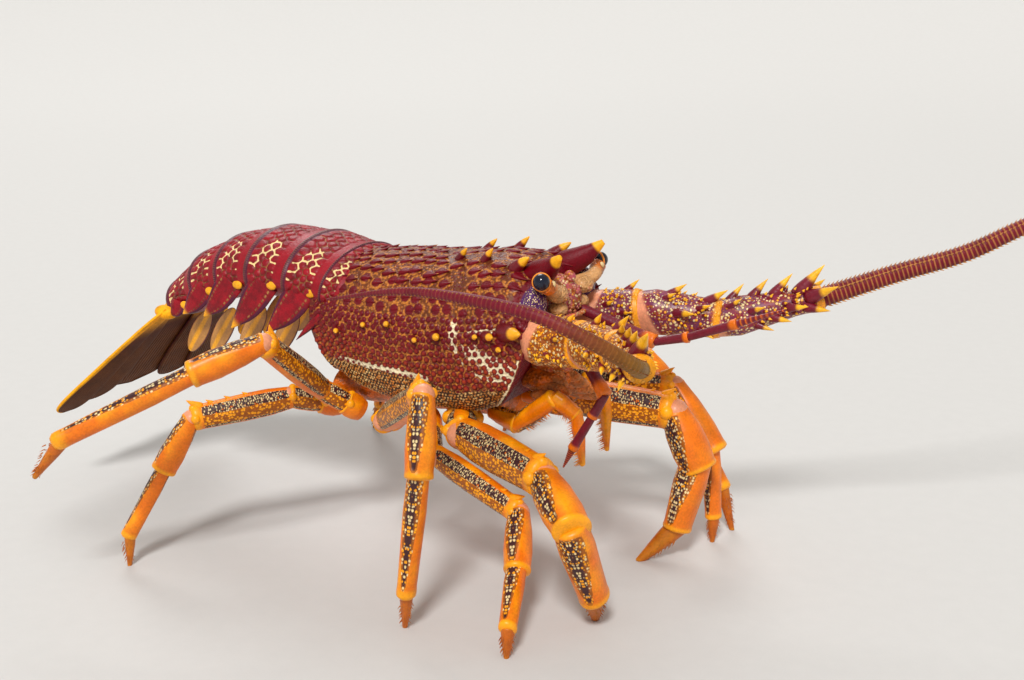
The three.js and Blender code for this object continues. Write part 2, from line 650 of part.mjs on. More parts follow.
function sternum(grow = 0) {
  const place = (t, angle) => {
    const x = STERNUM_REAR + (STERNUM_FRONT - STERNUM_REAR) * t;
    const wide = STERNUM_REAR_WIDTH + (STERNUM_FRONT_WIDTH - STERNUM_REAR_WIDTH) * t;
    const z = STERNUM_HEIGHT + STERNUM_CLIMB * t;
    const y = (wide / 2 + grow) * Math.sign(Math.sin(angle)) * Math.abs(Math.sin(angle)) ** STERNUM_POWER;
    return v(x, y, z + (STERNUM_DEPTH / 2 + grow) * Math.cos(angle));
  };
  return loft(10, 4, place);
}

// Assembly: each piece is cut by the neighbours it grows from, grown by the gap.
const group = new THREE.Group();
const bodyGrown = carapaceBase(GAP);
const faceGrown = face(GAP);
const SIDES = [['left', 1], ['right', -1]];

const hornsGrown = joined(SIDES.map(([, side]) => horn(side, GAP)));
const shellSpines = joined(carapaceSpines()).subtract(hornsGrown);
group.add(mesh('carapace', carapaceBase().add(shellSpines), COLOURS.shell));
group.add(mesh('face', face().subtract(bodyGrown), COLOURS.mouth));
group.add(mesh('sternum', sternum().subtract(bodyGrown), COLOURS.mouth));

const sternumGrown = sternum(GAP);
const sections = [];
for (let i = 0; i < 6; i++) {
  let whole = abdomenSegment(i);
  if (i < 2) whole = whole.subtract(bodyGrown);
  if (i > 0) whole = whole.subtract(sections[i - 1]);
  sections.push(abdomenSection(i, GAP).add(pleuron(i, 1)).add(pleuron(i, -1)));
  group.add(mesh(`abdomen_${i + 1}`, whole, COLOURS.abdomen));
}

const lastGrown = abdomenSection(5, GAP);
const telson = fanBlade(TELSON_OUTLINE, TELSON_RIBS, BLADE_SPACING, 1, true);
group.add(mesh('telson', telson.subtract(lastGrown), COLOURS.blade));

for (const [sideName, side] of SIDES) {
  const inner = fanBlade(INNER_OUTLINE, INNER_RIBS, 0, side);
  const outer = fanBlade(OUTER_OUTLINE, OUTER_RIBS, -BLADE_SPACING, side);
  group.add(mesh(`uropod_inner_${sideName}`, inner.subtract(lastGrown), COLOURS.blade));
  group.add(mesh(`uropod_outer_${sideName}`, outer.subtract(lastGrown), COLOURS.blade));
  group.add(mesh(`horn_${sideName}`, horn(side).subtract(bodyGrown), COLOURS.horn));
  const eyeCut = joined([bodyGrown, faceGrown, horn(side, GAP)]);
  group.add(mesh(`eye_${sideName}`, eye(side).subtract(eyeCut), COLOURS.eye, 0.1));
}

function addFeelers(sideName, peduncle, whipPoints, antennulePoints) {
  const base = joined([bodyGrown, faceGrown]);
  const side = Math.sign(peduncle[0].y);
  let before = base;
  for (let i = 0; i < 3; i++) {
    const segment = peduncleSegment(peduncle, i).subtract(before);
    const whole = joined([segment, ...peduncleSpines(peduncle, i, side)]);
    group.add(mesh(`antenna_${i + 1}_${sideName}`, whole, COLOURS.peduncle));
    before = peduncleSegment(peduncle, i, GAP);
  }
  WHIP_SPLIT.forEach((range, i) => {
    group.add(mesh(`flagellum_${i + 1}_${sideName}`, whip(whipPoints, range).subtract(before), COLOURS.whip));
    before = whip(whipPoints, range, GAP);
  });
  const cut = joined([base, peduncleSegment(peduncle, 0, GAP), peduncleSegment(peduncle, 1, GAP)]);
  group.add(mesh(`antennule_${sideName}`, antennule(antennulePoints).subtract(cut), COLOURS.whip));
}
addFeelers('right', PEDUNCLE_RIGHT, WHIP_RIGHT, ANTENNULE_RIGHT);
addFeelers('left', PEDUNCLE_LEFT, WHIP_LEFT, ANTENNULE_LEFT);

const legSets = [['left', LEGS_LEFT], ['right', LEGS_RIGHT]];
for (const [sideName, legs] of legSets) {
  const side = sideName === 'left' ? 1 : -1;
  const jaw = maxilliped(side).subtract(joined([bodyGrown, faceGrown, sternumGrown]));
  group.add(mesh(`maxilliped_${sideName}`, jaw, COLOURS.mouth));
  let before = joined([bodyGrown, sternumGrown, maxilliped(side, GAP)]);
  legs.forEach((leg, i) => {
    const upper = upperLeg(leg).add(merusSpine(leg)).subtract(before);
    const upperGrown = upperLeg(leg, GAP);
    const lower = aboveFloor(lowerLeg(leg)).subtract(upperGrown);
    group.add(mesh(`leg_${i + 1}_upper_${sideName}`, upper, COLOURS.leg));
    group.add(mesh(`leg_${i + 1}_lower_${sideName}`, lower, COLOURS.leg));
    before = before.add(upperGrown);
  });
  for (let i = 0; i < 4; i++) {
    const fin = pleopod(i, side).subtract(joined(sections.slice(i, i + 3)));
    group.add(mesh(`pleopod_${i + 2}_${sideName}`, fin, COLOURS.pleopod));
  }
}

group.position.set(-ORIGIN_X, -ORIGIN_Y, 0);
export default group;
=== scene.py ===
import json
import math
import random
import bpy
import numpy as np
from bpy.props import FloatProperty, FloatVectorProperty, PointerProperty
from mathutils import Matrix, Vector, kdtree

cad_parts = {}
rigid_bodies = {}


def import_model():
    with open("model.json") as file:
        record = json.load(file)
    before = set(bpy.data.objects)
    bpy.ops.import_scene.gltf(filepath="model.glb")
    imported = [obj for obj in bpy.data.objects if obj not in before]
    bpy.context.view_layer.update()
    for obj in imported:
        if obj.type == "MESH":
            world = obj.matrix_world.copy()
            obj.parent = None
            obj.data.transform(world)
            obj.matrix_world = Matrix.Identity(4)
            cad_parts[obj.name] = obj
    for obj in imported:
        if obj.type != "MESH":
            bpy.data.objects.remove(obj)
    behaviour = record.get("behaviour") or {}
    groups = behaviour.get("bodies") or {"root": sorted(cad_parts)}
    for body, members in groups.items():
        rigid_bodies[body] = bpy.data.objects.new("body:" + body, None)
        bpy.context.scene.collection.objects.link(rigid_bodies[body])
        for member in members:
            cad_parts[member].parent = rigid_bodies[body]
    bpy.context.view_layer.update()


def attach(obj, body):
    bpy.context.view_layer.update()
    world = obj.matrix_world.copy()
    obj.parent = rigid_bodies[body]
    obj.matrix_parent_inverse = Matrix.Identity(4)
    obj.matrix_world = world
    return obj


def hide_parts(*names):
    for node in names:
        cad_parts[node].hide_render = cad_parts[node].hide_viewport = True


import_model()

bl_info = {
    "name": "Spiny lobster",
    "version": (1, 0, 0),
    "blender": (4, 5, 0),
    "location": "3D View > Sidebar > Lobster",
    "description": "Builds a life-size red spiny lobster in a walking pose",
    "category": "Object",
}

# Lengths in this script are millimetres with +X forward, +Y the animal's left and +Z up.
# The middle of the footprint lies at this point, and meshes are made in metres about it.
ORIGIN = np.array([126.0, 20.0, 0.0])
MILLIMETRE = 0.001
RANDOM = random.Random(11)

# Carapace: [x, value] along the body.
REAR, FRONT, REAR_LOBE, FRONT_CHEEK, FRONT_UNDERCUT = -7.0, 106.0, 10.0, 5.0, 16.0
TOP = [[-20, 141], [-7, 144], [10, 147], [34, 149], [60, 151], [82, 154], [96, 153], [106, 148]]
BOTTOM = [[-17, 97], [-9, 88], [9, 79.5], [28, 76], [54, 75.5], [80, 77], [101, 85], [110, 98]]
HALF_WIDTH = [[-20, 33], [-7, 35], [20, 38.5], [50, 39.5], [80, 39], [100, 37], [112, 35]]
BELLY_RISE = 4.0
SHELL_ROWS, SHELL_COLUMNS = 216, 440
WAIST_SHARE = 0.47
MIDDLE_SECTION = 52.0
# How full the section is: powers under 1 make it boxier.
UPPER_SIDE_POWER, LOWER_SIDE_POWER, ROOF_POWER, FLOOR_POWER, BELLY_POWER = 0.92, 0.42, 0.95, 0.55, 6
# Rows of a hexagonal lattice lie this share of a step apart, and none of its places is nearer an end.
ROW_PITCH, END_MARGIN = 0.87, 1.5

# Large spines of one side: [x, degrees from the top, length, width].
LARGE_SPINES = [[95, 25, 9, 7], [76, 20, 7.5, 5], [60, 16, 6.5, 4.5], [101, 78, 13, 9], [91, 82, 7, 5.5],
                [96, 90, 5, 4], [84, 82, 4.5, 4], [63, 82, 6.5, 5.5], [51, 85, 4.5, 4], [34, 77, 5, 4.5],
                [20, 80, 4.5, 4], [2, 90, 4.5, 4]]
LARGE_LEAN, LARGE_BEND, LARGE_TAPER = 0.85, 0.15, 0.6

# Scale-like spines of the back: the arc that they cover, and the ranges of their sizes.
SCALE_ARC, SCALE_JITTER = (0.035, 0.42), 0.22
SCALE_LENGTH, SCALE_WIDTH, SCALE_FLATNESS = (4.8, 6.6), (4.0, 5.4), 0.55
SCALE_SINK, SCALE_LIFT, SCALE_BEND = 0.6, 0.24, 0.06
SCALE_FROM_SPINE, SCALE_FROM_GROOVE, SCALE_PAD = 5, 3, 2.9
PLAIN_SHARE = 0.7

# Tubercles of the flank and beads below the pale line: arc, and radius; the beads lie closer.
FLANK_ARC, FLANK_RADIUS_SHARE = (0.34, 0.72), 0.44
BEAD_ARC, BEAD_STEP, BEAD_RADIUS = (0.56, 0.86), 1.75, 0.86

# Lines of the flank: the cervical groove, its lower bend, and the pale line over the gills.
GROOVE_LINE = [[66, 20, 150], [72, 30, 138], [73, 37, 126], [72, 38, 117], [76, 37.8, 108],
               [84, 37.2, 102.5], [92, 36.5, 100.5], [102, 35, 101.5]]
CHEEK_LINE = [[72, 37, 121], [84, 37, 122], [96, 36.5, 124]]
PALE_LINE = [[-12, 35, 98], [2, 37, 98], [20, 38.5, 97.5], [40, 39, 97.5], [58, 39.5, 96]]
NET_PATCH = [[84, 37.5, 112], [93, 36.5, 108], [101, 35.5, 105]]
# Height, along the body, under which the flank is beaded, and the middle of the eye socket.
BEADED_BELOW = [[-12, 97], [2, 97], [20, 96.5], [58, 95], [75, 92], [88, 95], [100, 96]]
SOCKET = [112, 0, 138]
SOCKET_INSIDE = 20
# Distances from that middle at which the dark ring ends and starts, and at which the violet ends.
SOCKET_OUTER, SOCKET_INNER, VIOLET_EDGE = (12.5, 11), (7.5, 9), (8.8, 7.8)
# Relief in millimetres, and how far from the rear edge its ridge lies and how wide it is.
TUBERCLE_HEIGHT, BEAD_HEIGHT, GROOVE_DEPTH, RIM_HEIGHT, RIDGE_HEIGHT = 0.95, 0.45, 1.2, 0.5, 0.7
RIDGE_PLACE, RIDGE_WIDTH = 5, 1.2

# Abdomen: middle line and sizes at the front of each segment and at the end of the last.
SPINE_LINE = [[1, 0, 126], [-10, 0, 128], [-34, 0, 130.5], [-60, 0, 130], [-83, 0, 125], [-104, 0, 117],
              [-127, 0, 103]]
SEGMENT_WIDTH = [33, 34, 34, 32.5, 30, 27, 21]
SEGMENT_ABOVE = [18, 19, 20.5, 21, 20, 18, 14]
SEGMENT_BELOW = [15, 15, 15, 14, 13, 11, 7]
PLEURON_TIP = [[-24, 36, 103], [-42, 38, 105], [-66, 37.5, 104], [-87, 35.5, 107], [-106, 31.5, 105],
               [-121, 26, 101]]
PLEURON_WIDTH = [6, 17, 17, 16, 14, 11]
PLEURON_TAPER = [1, 0.99, 0.95, 0.82, 0.62, 0.34, 0.04]
PLEURON_THICKNESS = [3.8, 2.8, 2.6, 2.6, 2.4, 1.8, 0.5]
PLEURON_ROWS, PLEURON_SIDES = 60, 56
SEGMENT_ROWS, SEGMENT_COLUMNS = 60, 300
# A segment flares from its front to its rear, and its scales cover this span and this half turn.
FLARE_START, FLARE = -1.2, 1.6
SCALES_FROM, SCALES_SPAN, SCALES_TURN = 0.28, 0.54, 1.95
# The radius on which scales are spaced, the one that sets their number, and how far they stray.
SCALES_RADIUS, SCALES_GIRTH, SCALES_STRAY = 31, 34, 0.02
# Relief in millimetres: scales, smooth front band, and rear border.
SCALE_RISE, BAND_RISE, BORDER_RISE = 0.75, 0.5, 0.9

# Tail fan: outlines in its plane, down the slope and outwards.
HINGE = np.array([-129.0, 0.0, 104.0])
FAN_SLOPE = math.radians(47)
TELSON_OUTLINE = [[-6, 12], [30, 17.5], [62, 21.5], [77, 18.5], [81, 9], [80.9, 4]]
INNER_OUTLINE = [[-4, 9], [20, 11], [60, 13], [78, 19], [81, 31], [77, 42], [48, 38], [16, 27], [2, 20]]
OUTER_OUTLINE = [[-2, 14], [24, 24], [60, 33], [79, 40], [81, 54], [75, 61], [40, 48], [12, 34], [0, 26]]
FAN_LENGTH, FAN_START = 81, -6
BLADE_ROWS, BLADE_COLUMNS = 90, 90
BLADE_SPACING = 2.3
# Half turns of the ribs across the telson and across a blade, and how stations crowd to the end.
TELSON_RIBS, BLADE_RIBS, FAN_HURRY = 34, 26, 0.8
BLADE_EDGE = [7, 3.6, 2.0, 0.8]

# Walking legs: joints from hip to foot, and widths of merus, carpus, propodus and dactyl.
LEGS = {
    "right": [
        ([[66, -20, 75], [77, -40, 72], [132, -56, 66], [157, -74, 53], [157, -54, 14], [153, -46, -1]],
         [19.5, 19.5, 18.5, 12]),
        ([[48, -23, 72], [67, -48, 61], [116, -51, 45], [127, -71, 26], [138, -97, 12], [138, -98, -1]],
         [12.5, 14, 10.5, 8]),
        ([[30, -26, 70], [41, -52, 76], [91, -88, 107], [96, -100, 73], [88, -101, 17], [84, -97, -1]],
         [14, 14.5, 11.5, 8]),
        ([[10, -28, 69], [-2, -46, 84], [5, -92, 119], [-17, -118, 107], [-65, -157, 78], [-77, -160, 60]],
         [12.5, 13.5, 10.5, 7.6]),
        ([[-4, -26, 70], [-20, -49, 78], [-49, -87, 72], [-60, -98, 46], [-72, -113, 14], [-71, -114, -1]],
         [13.5, 12.5, 9, 6.8]),
    ],
    "left": [
        ([[66, 20, 75], [92, 35, 74], [149, 41, 72], [163, 42, 44], [155, 33, 14], [141, 19, -1]],
         [19.5, 19.5, 18, 11.5]),
        ([[48, 23, 72], [76, 43, 80], [138, 64, 78], [163, 62, 47], [163, 60, 12], [163, 59, -1]],
         [12.5, 14, 10.5, 8]),
        ([[30, 26, 70], [52, 54, 76], [108, 88, 84], [132, 88, 58], [160, 80, 20], [166, 78, -1]],
         [13, 14, 10.5, 8]),
        ([[10, 28, 69], [6, 52, 84], [22, 112, 93], [14, 128, 61], [-12, 148, 15], [-20, 151, -1]],
         [12.5, 13, 10, 7.2]),
        ([[-4, 26, 70], [-20, 50, 80], [-46, 84, 84], [-64, 94, 60], [-88, 112, 16], [-94, 114, -1]],
         [12.5, 12.5, 9, 6.8]),
    ],
}

# How far a leg segment reaches back over the one before, as a share of its length.
HIP_SHARE, HIP_OVERLAP, KNEE_OVERLAP = 0.42, 0.3, 0.12
CARPUS_OVERLAP, ANKLE_OVERLAP, WRIST_OVERLAP = 0.04, 0.16, 0.08
LIMB_ROWS, LIMB_SIDES, LIMB_FLATNESS = 46, 56, 0.86
UPPER_PROFILE = [0.82, 1, 1.02, 0.9]
MERUS_PROFILE = [0.8, 1, 1.02, 0.96, 0.9]
CARPUS_PROFILE = [0.76, 1.0, 1.06, 0.94]
PROPODUS_PROFILE = [0.94, 1.02, 0.92, 0.84]
DACTYL_PROFILE = [0.95, 0.8, 0.56, 0.3]
# Knobs at the end of a segment: aside, how high, and size as a share of the width.
KNOBS = [(1, 0.15, 0.36), (-1, 0.15, 0.36), (0, 1.0, 0.3)]
# Spines along the top of the upper leg: share of the length, and size.
MERUS_SPINES = [(0.92, 1.0), (0.78, 0.5), (0.6, 0.45), (0.42, 0.4)]
CHANNEL_DEPTH = 0.1
# The side of the first three legs along which their beads lie, given for the left. It turns one channel of
# each towards the camera, and that channel's dark ground is partly painted shade.
BEAD_SIDE = [0.25, 1.0, 0.1]
TOE_BRISTLES, JAW_BRISTLES = 70, 90
LEG_MASKS = ("net", "corn", "channel", "end", "soft", "horn", "low", "run", "girth")

# Shield between the legs: rear and front x, widths and heights, depth and how boxy it is.
STERNUM_X, STERNUM_WIDTH, STERNUM_Z = (-10, 78), (50, 26), (78, 81)
STERNUM_DEPTH, STERNUM_POWER = 10, 0.7

# Feelers: spines are [share of the length, degrees from the top, length].
PEDUNCLE = {
    "right": [[104, -24, 119], [138, -31, 122], [167, -51, 128], [190, -79, 131]],
    "left": [[104, 23, 119], [136, 30, 124], [172, 41, 122], [213, 63, 133]],
}
PEDUNCLE_WIDTH = [23, 21, 19, 13]
PEDUNCLE_HEIGHT = [24, 22, 19, 12]
PEDUNCLE_OVERLAP, PEDUNCLE_SIDES, SMALL_SPINES = 0.12, 64, 46
PEDUNCLE_SPINES = [
    [[0.8, 15, 7], [0.75, 70, 6], [0.6, 110, 5]],
    [[0.35, 0, 8], [0.85, -12, 9], [0.9, 55, 8], [0.62, 95, 7], [0.9, 125, 7]],
    [[0.14, 8, 8], [0.36, 3, 9], [0.58, 0, 10], [0.84, -6, 13], [0.3, 70, 7], [0.6, 75, 8], [0.9, 68, 10],
     [0.45, 128, 7], [0.75, 135, 8]],
]
# More spines of the left base, on the side towards the middle, and the reach of the soft skin.
MIDDLE_SPINES = [
    [[0.55, -55, 6], [0.8, -80, 5]],
    [[0.3, -30, 6], [0.5, -72, 9], [0.75, -50, 6], [0.8, -118, 7]],
    [[0.12, -40, 6], [0.3, -70, 7], [0.92, -62, 12], [0.5, -112, 8], [0.68, -88, 8], [0.86, -108, 9],
     [0.34, -128, 7]],
]
SOFT_REACH, SOFT_TOP = [0.36, 0.25, 0.12], [0.35, -0.55, -0.3]
WHIP = {
    "right": [[190, -79, 131], [196, -97, 138], [188, -112, 149], [169, -121, 159], [140, -122, 162],
              [104, -116, 160], [56, -107, 149]],
    "left": [[213, 63, 133], [243, 78, 145], [270, 89, 155], [293, 99, 168], [345, 128, 196],
             [398, 164, 226], [438, 200, 250]],
}
WHIP_WIDTH = [9.6, 8.2, 7.2, 6.6, 5.0, 3.2, 1.2]
# Each whip is made of this many rings of points, in two pieces that part at WHIP_SPLIT.
WHIP_RINGS, WHIP_SPLIT, WHIP_SIDES = 900, 378, 20
BRISTLE_COLUMNS = (2, 7, 12, 17)
# Contrast and relief of the rings, and share of the width: the photo's right whip is thin and plain.
WHIP_STYLE = {"left": (0.6, 0.1, 1.0), "right": (0.09, 0.02, 0.82)}
ANTENNULE = {
    "right": [[112, -8, 128], [145, -24, 98], [139, -25, 87], [129, -25, 70], [124, -25, 60]],
    "left": [[112, 8, 128], [153, 9, 116], [169, 11, 120], [192, 12, 129], [214, 13, 138]],
}
ANTENNULE_WIDTH = [6, 4.6, 4.4, 4, 2.6]

# Head and mouth; balls are given as [middle, full sizes].
MAXILLIPED = [[78, 15, 77], [95, 18, 74], [115, 17, 90], [125, 14, 82], [127, 12, 57]]
MAXILLIPED_WIDTH = [9, 10, 9, 7, 2.6]
HORN = [[96, 11.5, 142], [105, 13.5, 147], [112.5, 17, 151.5], [119.5, 20.5, 157.5]]
HORN_WIDTH = [14, 11.5, 8.2, 2.4]
HORN_HEIGHT = [15, 13.5, 9.6, 2.8]
EYE = [114, 27.5, 147]
EYE_STALK = [[108, 8, 138], [115, 18, 141], [114.5, 25, 145]]
EYE_STALK_WIDTH = [7, 6.6, 7.6]
EYE_FACING = [0.45, 0.86, 0.12]
# The ring round the cornea: radius as a share of the eye, how far it is set back, and thickness.
EYE_RING_SHARE, EYE_RING_BACK, EYE_RING_RADIUS = 0.5, 0.04, 0.5
EYELID = [[117.4, 23.0, 145.6], [2.6, 2.4, 3.2]]
EYE_SPOT = [[117.2, 22.8, 142.0], [2.2, 2.2, 2.0]]
# Forms of the face on the middle line, with how much of a plain plate each is.
FACE_CORE = [([103.5, 0, 134], [28, 24, 22], 0.0), ([102, 0, 112], [34, 22, 36], 0.5),
             ([98, 0, 94], [30, 24, 14], 1.0), ([113, 0, 144], [6, 4.5, 6], 0.0)]
# Forms beside it, given for the left, with their masks.
FACE_SIDES = [([108, 23, 134.5], [9, 15, 18], {"violet": 1.0}),
              ([113.5, 12, 138.2], [9.5, 11.5, 8.5], {"soft": 1.0}),
              ([116.2, 11.5, 137.4], [5, 5, 5.4], {"soft": 0.45}),
              ([112.5, 10, 130.5], [9, 10, 6.5], {"soft": 1.0})]
FACE_GRANULES, LIP_BEADS, MOUTH_PLATES = 90, 15, 5
# Where the granules between the eyes lie: across, and their heights.
GRANULES_ACROSS, GRANULES_HIGH = (-8, 8), (128.5, 138.5)

# Swimmerets from the second segment back: roots, lengths, and how far they lean.
PLEOPOD_ROOT = [[-34, 23, 112], [-57, 22, 112], [-79, 21, 108], [-98, 20, 104]]
PLEOPOD_LENGTH = [29, 31, 32, 30]
PLEOPOD_LEAN = math.radians(36)
PLEOPOD_HALF_WIDTH, PLEOPOD_THICKNESS = 5.75, 1.8

# Stage, in metres: the camera has the photo's viewing angle, and the floor rises far out like a bowl.
CAMERA_PLACE, CAMERA_HEADING, CAMERA_ROLL = (0.3002, -0.5724, 0.2896), (-0.5106, 0.8172, -0.2672), -0.5
CAMERA_LENS, CAMERA_SENSOR = 49.2, 36.0
KEY_PLACE, KEY_SPREAD = (0.5, -1.2, 1.5), 12.0
RIM_PLACE, RIM_SPREAD, RIM_SHARE = (-0.9, 1.0, 1.2), 25.0, 0.35
AIR_STRENGTH = 0.5
FLOOR_FLAT, FLOOR_SLOPE, FLOOR_RISE, FLOOR_STEPS = 1.5, 3.5, 1.6, 24

# Sides of the animal with the sign of their y, and settings that all materials share.
SIDES = {"left": 1, "right": -1}
BUMP_STRENGTH, COAT_ROUGHNESS = 0.9, 0.2


def along(keys, x):
    """Value at x of a curve given as sorted [x, value] keys."""
    keys = np.array(keys, float)
    return np.interp(x, keys[:, 0], keys[:, 1])


def smooth(value, low, high):
    """0 below low, 1 above high, smooth between; low may be the larger one."""
    share = np.clip((value - low) / (high - low), 0, 1)
    return share * share * (3 - 2 * share)


def bell(distance, width):
    """1 at no distance, falling off smoothly over the width."""
    return np.exp(-(distance / width) ** 2)


def circle_angles(count):
    """Evenly spaced angles of a full turn."""
    return np.arange(count) * 2 * math.pi / count


def unit(vectors):
    """Vectors of length 1."""
    vectors = np.asarray(vectors, float)
    return vectors / np.maximum(np.linalg.norm(vectors, axis=-1, keepdims=True), 1e-9)


def spline(points, places):
    """Points at places in 0..1 of a smooth curve through the given points."""
    p = np.array(points, float)
    if len(p) == 2:
        return p[0] + np.outer(places, p[1] - p[0])
    p = np.vstack([2 * p[0] - p[1], p, 2 * p[-1] - p[-2]])
    spots = np.asarray(places, float) * (len(points) - 1)
    i = np.minimum(spots.astype(int), len(points) - 2)
    w = (spots - i)[:, None]
    p0, p1, p2, p3 = p[i], p[i + 1], p[i + 2], p[i + 3]
    d0, d1, d2 = (np.sqrt(np.linalg.norm(b - a, axis=1))[:, None] for a, b in ((p0, p1), (p1, p2), (p2, p3)))
    m1 = d1 * ((p1 - p0) / d0 - (p2 - p0) / (d0 + d1) + (p2 - p1) / d1)
    m2 = d1 * ((p2 - p1) / d1 - (p3 - p1) / (d1 + d2) + (p3 - p2) / d2)
    return (p1 + m1 * w + (3 * (p2 - p1) - 2 * m1 - m2) * w ** 2 + (2 * (p1 - p2) + m1 + m2) * w ** 3)


def even_spline(points, count):
    """Evenly spaced points along a smooth curve."""
    dense = spline(points, np.linspace(0, 1, 60 * len(points)))
    run = np.concatenate([[0], np.cumsum(np.linalg.norm(np.diff(dense, axis=0), axis=1))])
    at = np.linspace(0, run[-1], count)
    return np.stack([np.interp(at, run, dense[:, k]) for k in range(3)], 1)


def keyed(values, places):
    """Values spread evenly over 0..1, read at places."""
    return np.interp(places, np.linspace(0, 1, len(values)), values)


def mirrored(points, side):
    """Points with y multiplied by side."""
    return np.array(points, float) * [1, side, 1]


def near_line(points, line):
    """Distance from each point, with y taken as positive, to a line of points."""
    p = np.array(points, float)
    p[..., 1] = np.abs(p[..., 1])
    best = np.full(p.shape[:-1], 1e9)
    for a, b in zip(line[:-1], line[1:]):
        a, b = np.array(a, float), np.array(b, float)
        t = np.clip((p - a) @ (b - a) / ((b - a) @ (b - a)), 0, 1)
        best = np.minimum(best, np.linalg.norm(p - a - t[..., None] * (b - a), axis=-1))
    return best


def nearest(points, centres, count=1):
    """Distances from each point to its nearest centres, along a last axis."""
    tree = kdtree.KDTree(len(centres))
    for i, centre in enumerate(centres):
        tree.insert(centre, i)
    tree.balance()
    found = [[hit[2] for hit in tree.find_n(p, count)] for p in points.reshape(-1, 3)]
    return np.array(found).reshape(*points.shape[:-1], count)


def grid_normals(grid, wraps=True):
    """Outward normals of a grid of points whose columns run round."""
    down = np.gradient(grid, axis=0)
    across = (np.roll(grid, -1, 1) - np.roll(grid, 1, 1)) if wraps else np.gradient(grid, axis=1)
    normals = unit(np.cross(across, down))
    if np.sum(normals * (grid - grid.mean((0, 1)))) < 0:
        normals = -normals
    return normals


class Shape:
    """A mesh in the making: points, faces and masks on the points."""

    def __init__(self, *masks):
        self.names = masks
        self.points, self.faces, self.masks, self.count = [], [], [], 0

    def add(self, points, faces, **masks):
        """Adds points in millimetres with faces of equal length and a value or array for each mask."""
        points = np.asarray(points, float).reshape(-1, 3)
        self.points.append(points)
        self.faces.extend(np.asarray(f, int) + self.count for f in faces)
        values = [np.broadcast_to(np.asarray(masks.get(n, 0.0), float).reshape(-1), (len(points),))
                  for n in self.names]
        self.masks.append(np.stack(values, 1) if values else np.zeros((len(points), 0)))
        self.count += len(points)

    def grid(self, grid, wraps=True, caps=True, **masks):
        """Adds a grid of points; its columns close into rings and its ends are capped."""
        rows, columns = grid.shape[:2]
        number = np.arange(rows * columns).reshape(rows, columns)
        right = np.roll(number, -1, 1) if wraps else number[:, 1:]
        left = number if wraps else number[:, :-1]
        quads = np.stack([left[:-1], right[:-1], right[1:], left[1:]], -1).reshape(-1, 4)
        faces = [quads]
        points = grid.reshape(-1, 3)
        flat = {n: np.broadcast_to(m, (rows, columns)).reshape(-1) for n, m in masks.items()}
        if wraps and caps:
            ends = np.array([grid[0].mean(0), grid[-1].mean(0)])
            points = np.vstack([points, ends])
            for n, m in flat.items():
                flat[n] = np.concatenate([m, [m[:columns].mean(), m[-columns:].mean()]])
            first, last = rows * columns, rows * columns + 1
            faces.append(np.stack([np.full(columns, first), right[0], left[0]], 1))
            faces.append(np.stack([np.full(columns, last), left[-1], right[-1]], 1))
        self.add(points, faces, **flat)

    def make(self, name):
        """The finished object, in metres."""
        points = (np.vstack(self.points) - ORIGIN) * MILLIMETRE
        name = name.replace(" ", "_")
        mesh = bpy.data.meshes.new(name)
        mesh.vertices.add(len(points))
        mesh.vertices.foreach_set("co", points.astype(np.float32).ravel())
        loops = np.concatenate([f.ravel() for f in self.faces])
        sizes = np.concatenate([np.full(len(f), f.shape[1]) for f in self.faces])
        mesh.loops.add(len(loops))
        mesh.loops.foreach_set("vertex_index", loops.astype(np.int32))
        mesh.polygons.add(len(sizes))
        starts = np.concatenate([[0], np.cumsum(sizes)[:-1]])
        mesh.polygons.foreach_set("loop_start", starts.astype(np.int32))
        mesh.update(calc_edges=True)
        mesh.validate()
        masks = np.vstack(self.masks)
        for i, mask in enumerate(self.names):
            layer = mesh.attributes.new(mask, "FLOAT", "POINT")
            layer.data.foreach_set("value", masks[:, i].astype(np.float32))
        mesh.shade_smooth()
        piece = bpy.data.objects.new(name, mesh)
        bpy.context.scene.collection.objects.link(piece)
        return piece


def put(name, shape, material, nodes):
    """Makes the object of a shape, dresses it and puts it in the place of its solids."""
    piece = shape.make(name)
    piece.data.materials.append(material)
    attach(piece, "root")
    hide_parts(*nodes)
    return piece


def tube(path, widths, heights, sides, up=(0, 0, 1)):
    """Rings round a path, with the frame's side and rise directions, and the angle of each column."""
    tangent = unit(np.gradient(path, axis=0))
    side = unit(np.cross(np.broadcast_to(up, path.shape), tangent))
    rise = np.cross(tangent, side)
    angle = circle_angles(sides)
    wide = np.broadcast_to(widths, len(path))[:, None, None] / 2
    tall = np.broadcast_to(heights, len(path))[:, None, None] / 2
    rings = (path[:, None] + side[:, None] * np.sin(angle)[None, :, None] * wide
             + rise[:, None] * np.cos(angle)[None, :, None] * tall)
    return rings, angle


def add_spine(shape, foot, direction, length, width, bend=None, flat=1.0, sides=10, taper=0.85, **masks):
    """A curved, tapered spine whose root is sunk in; `tip` runs from root to point."""
    foot, direction = np.array(foot, float), unit(direction)
    t = np.linspace(-0.35, 1, 9)
    lean = np.zeros(3) if bend is None else np.array(bend, float)
    path = foot + np.outer(t * length, direction) + np.outer(np.maximum(t, 0) ** 2 * length, lean)
    size = width * np.clip(1 - t, 0.02, 1.12) ** taper
    up = np.array([0, 1, 0.2]) if abs(direction[2]) > 0.8 else np.array([0, 0, 1.0])
    rings, _ = tube(path, size, size * flat, sides, up)
    shape.grid(rings, tip=t[:, None], **masks)


def add_ball(shape, centre, size, sides=20, **masks):
    """An ellipsoid of the given full sizes."""
    turn = circle_angles(sides)
    lift = np.linspace(0.02, math.pi - 0.02, sides // 2 + 2)
    ball = np.stack([np.outer(np.sin(lift), np.cos(turn)), np.outer(np.sin(lift), np.sin(turn)),
                     np.outer(np.cos(lift), np.ones(sides))], -1)
    shape.grid(np.array(centre, float) + ball * np.array(size, float) / 2, **masks)


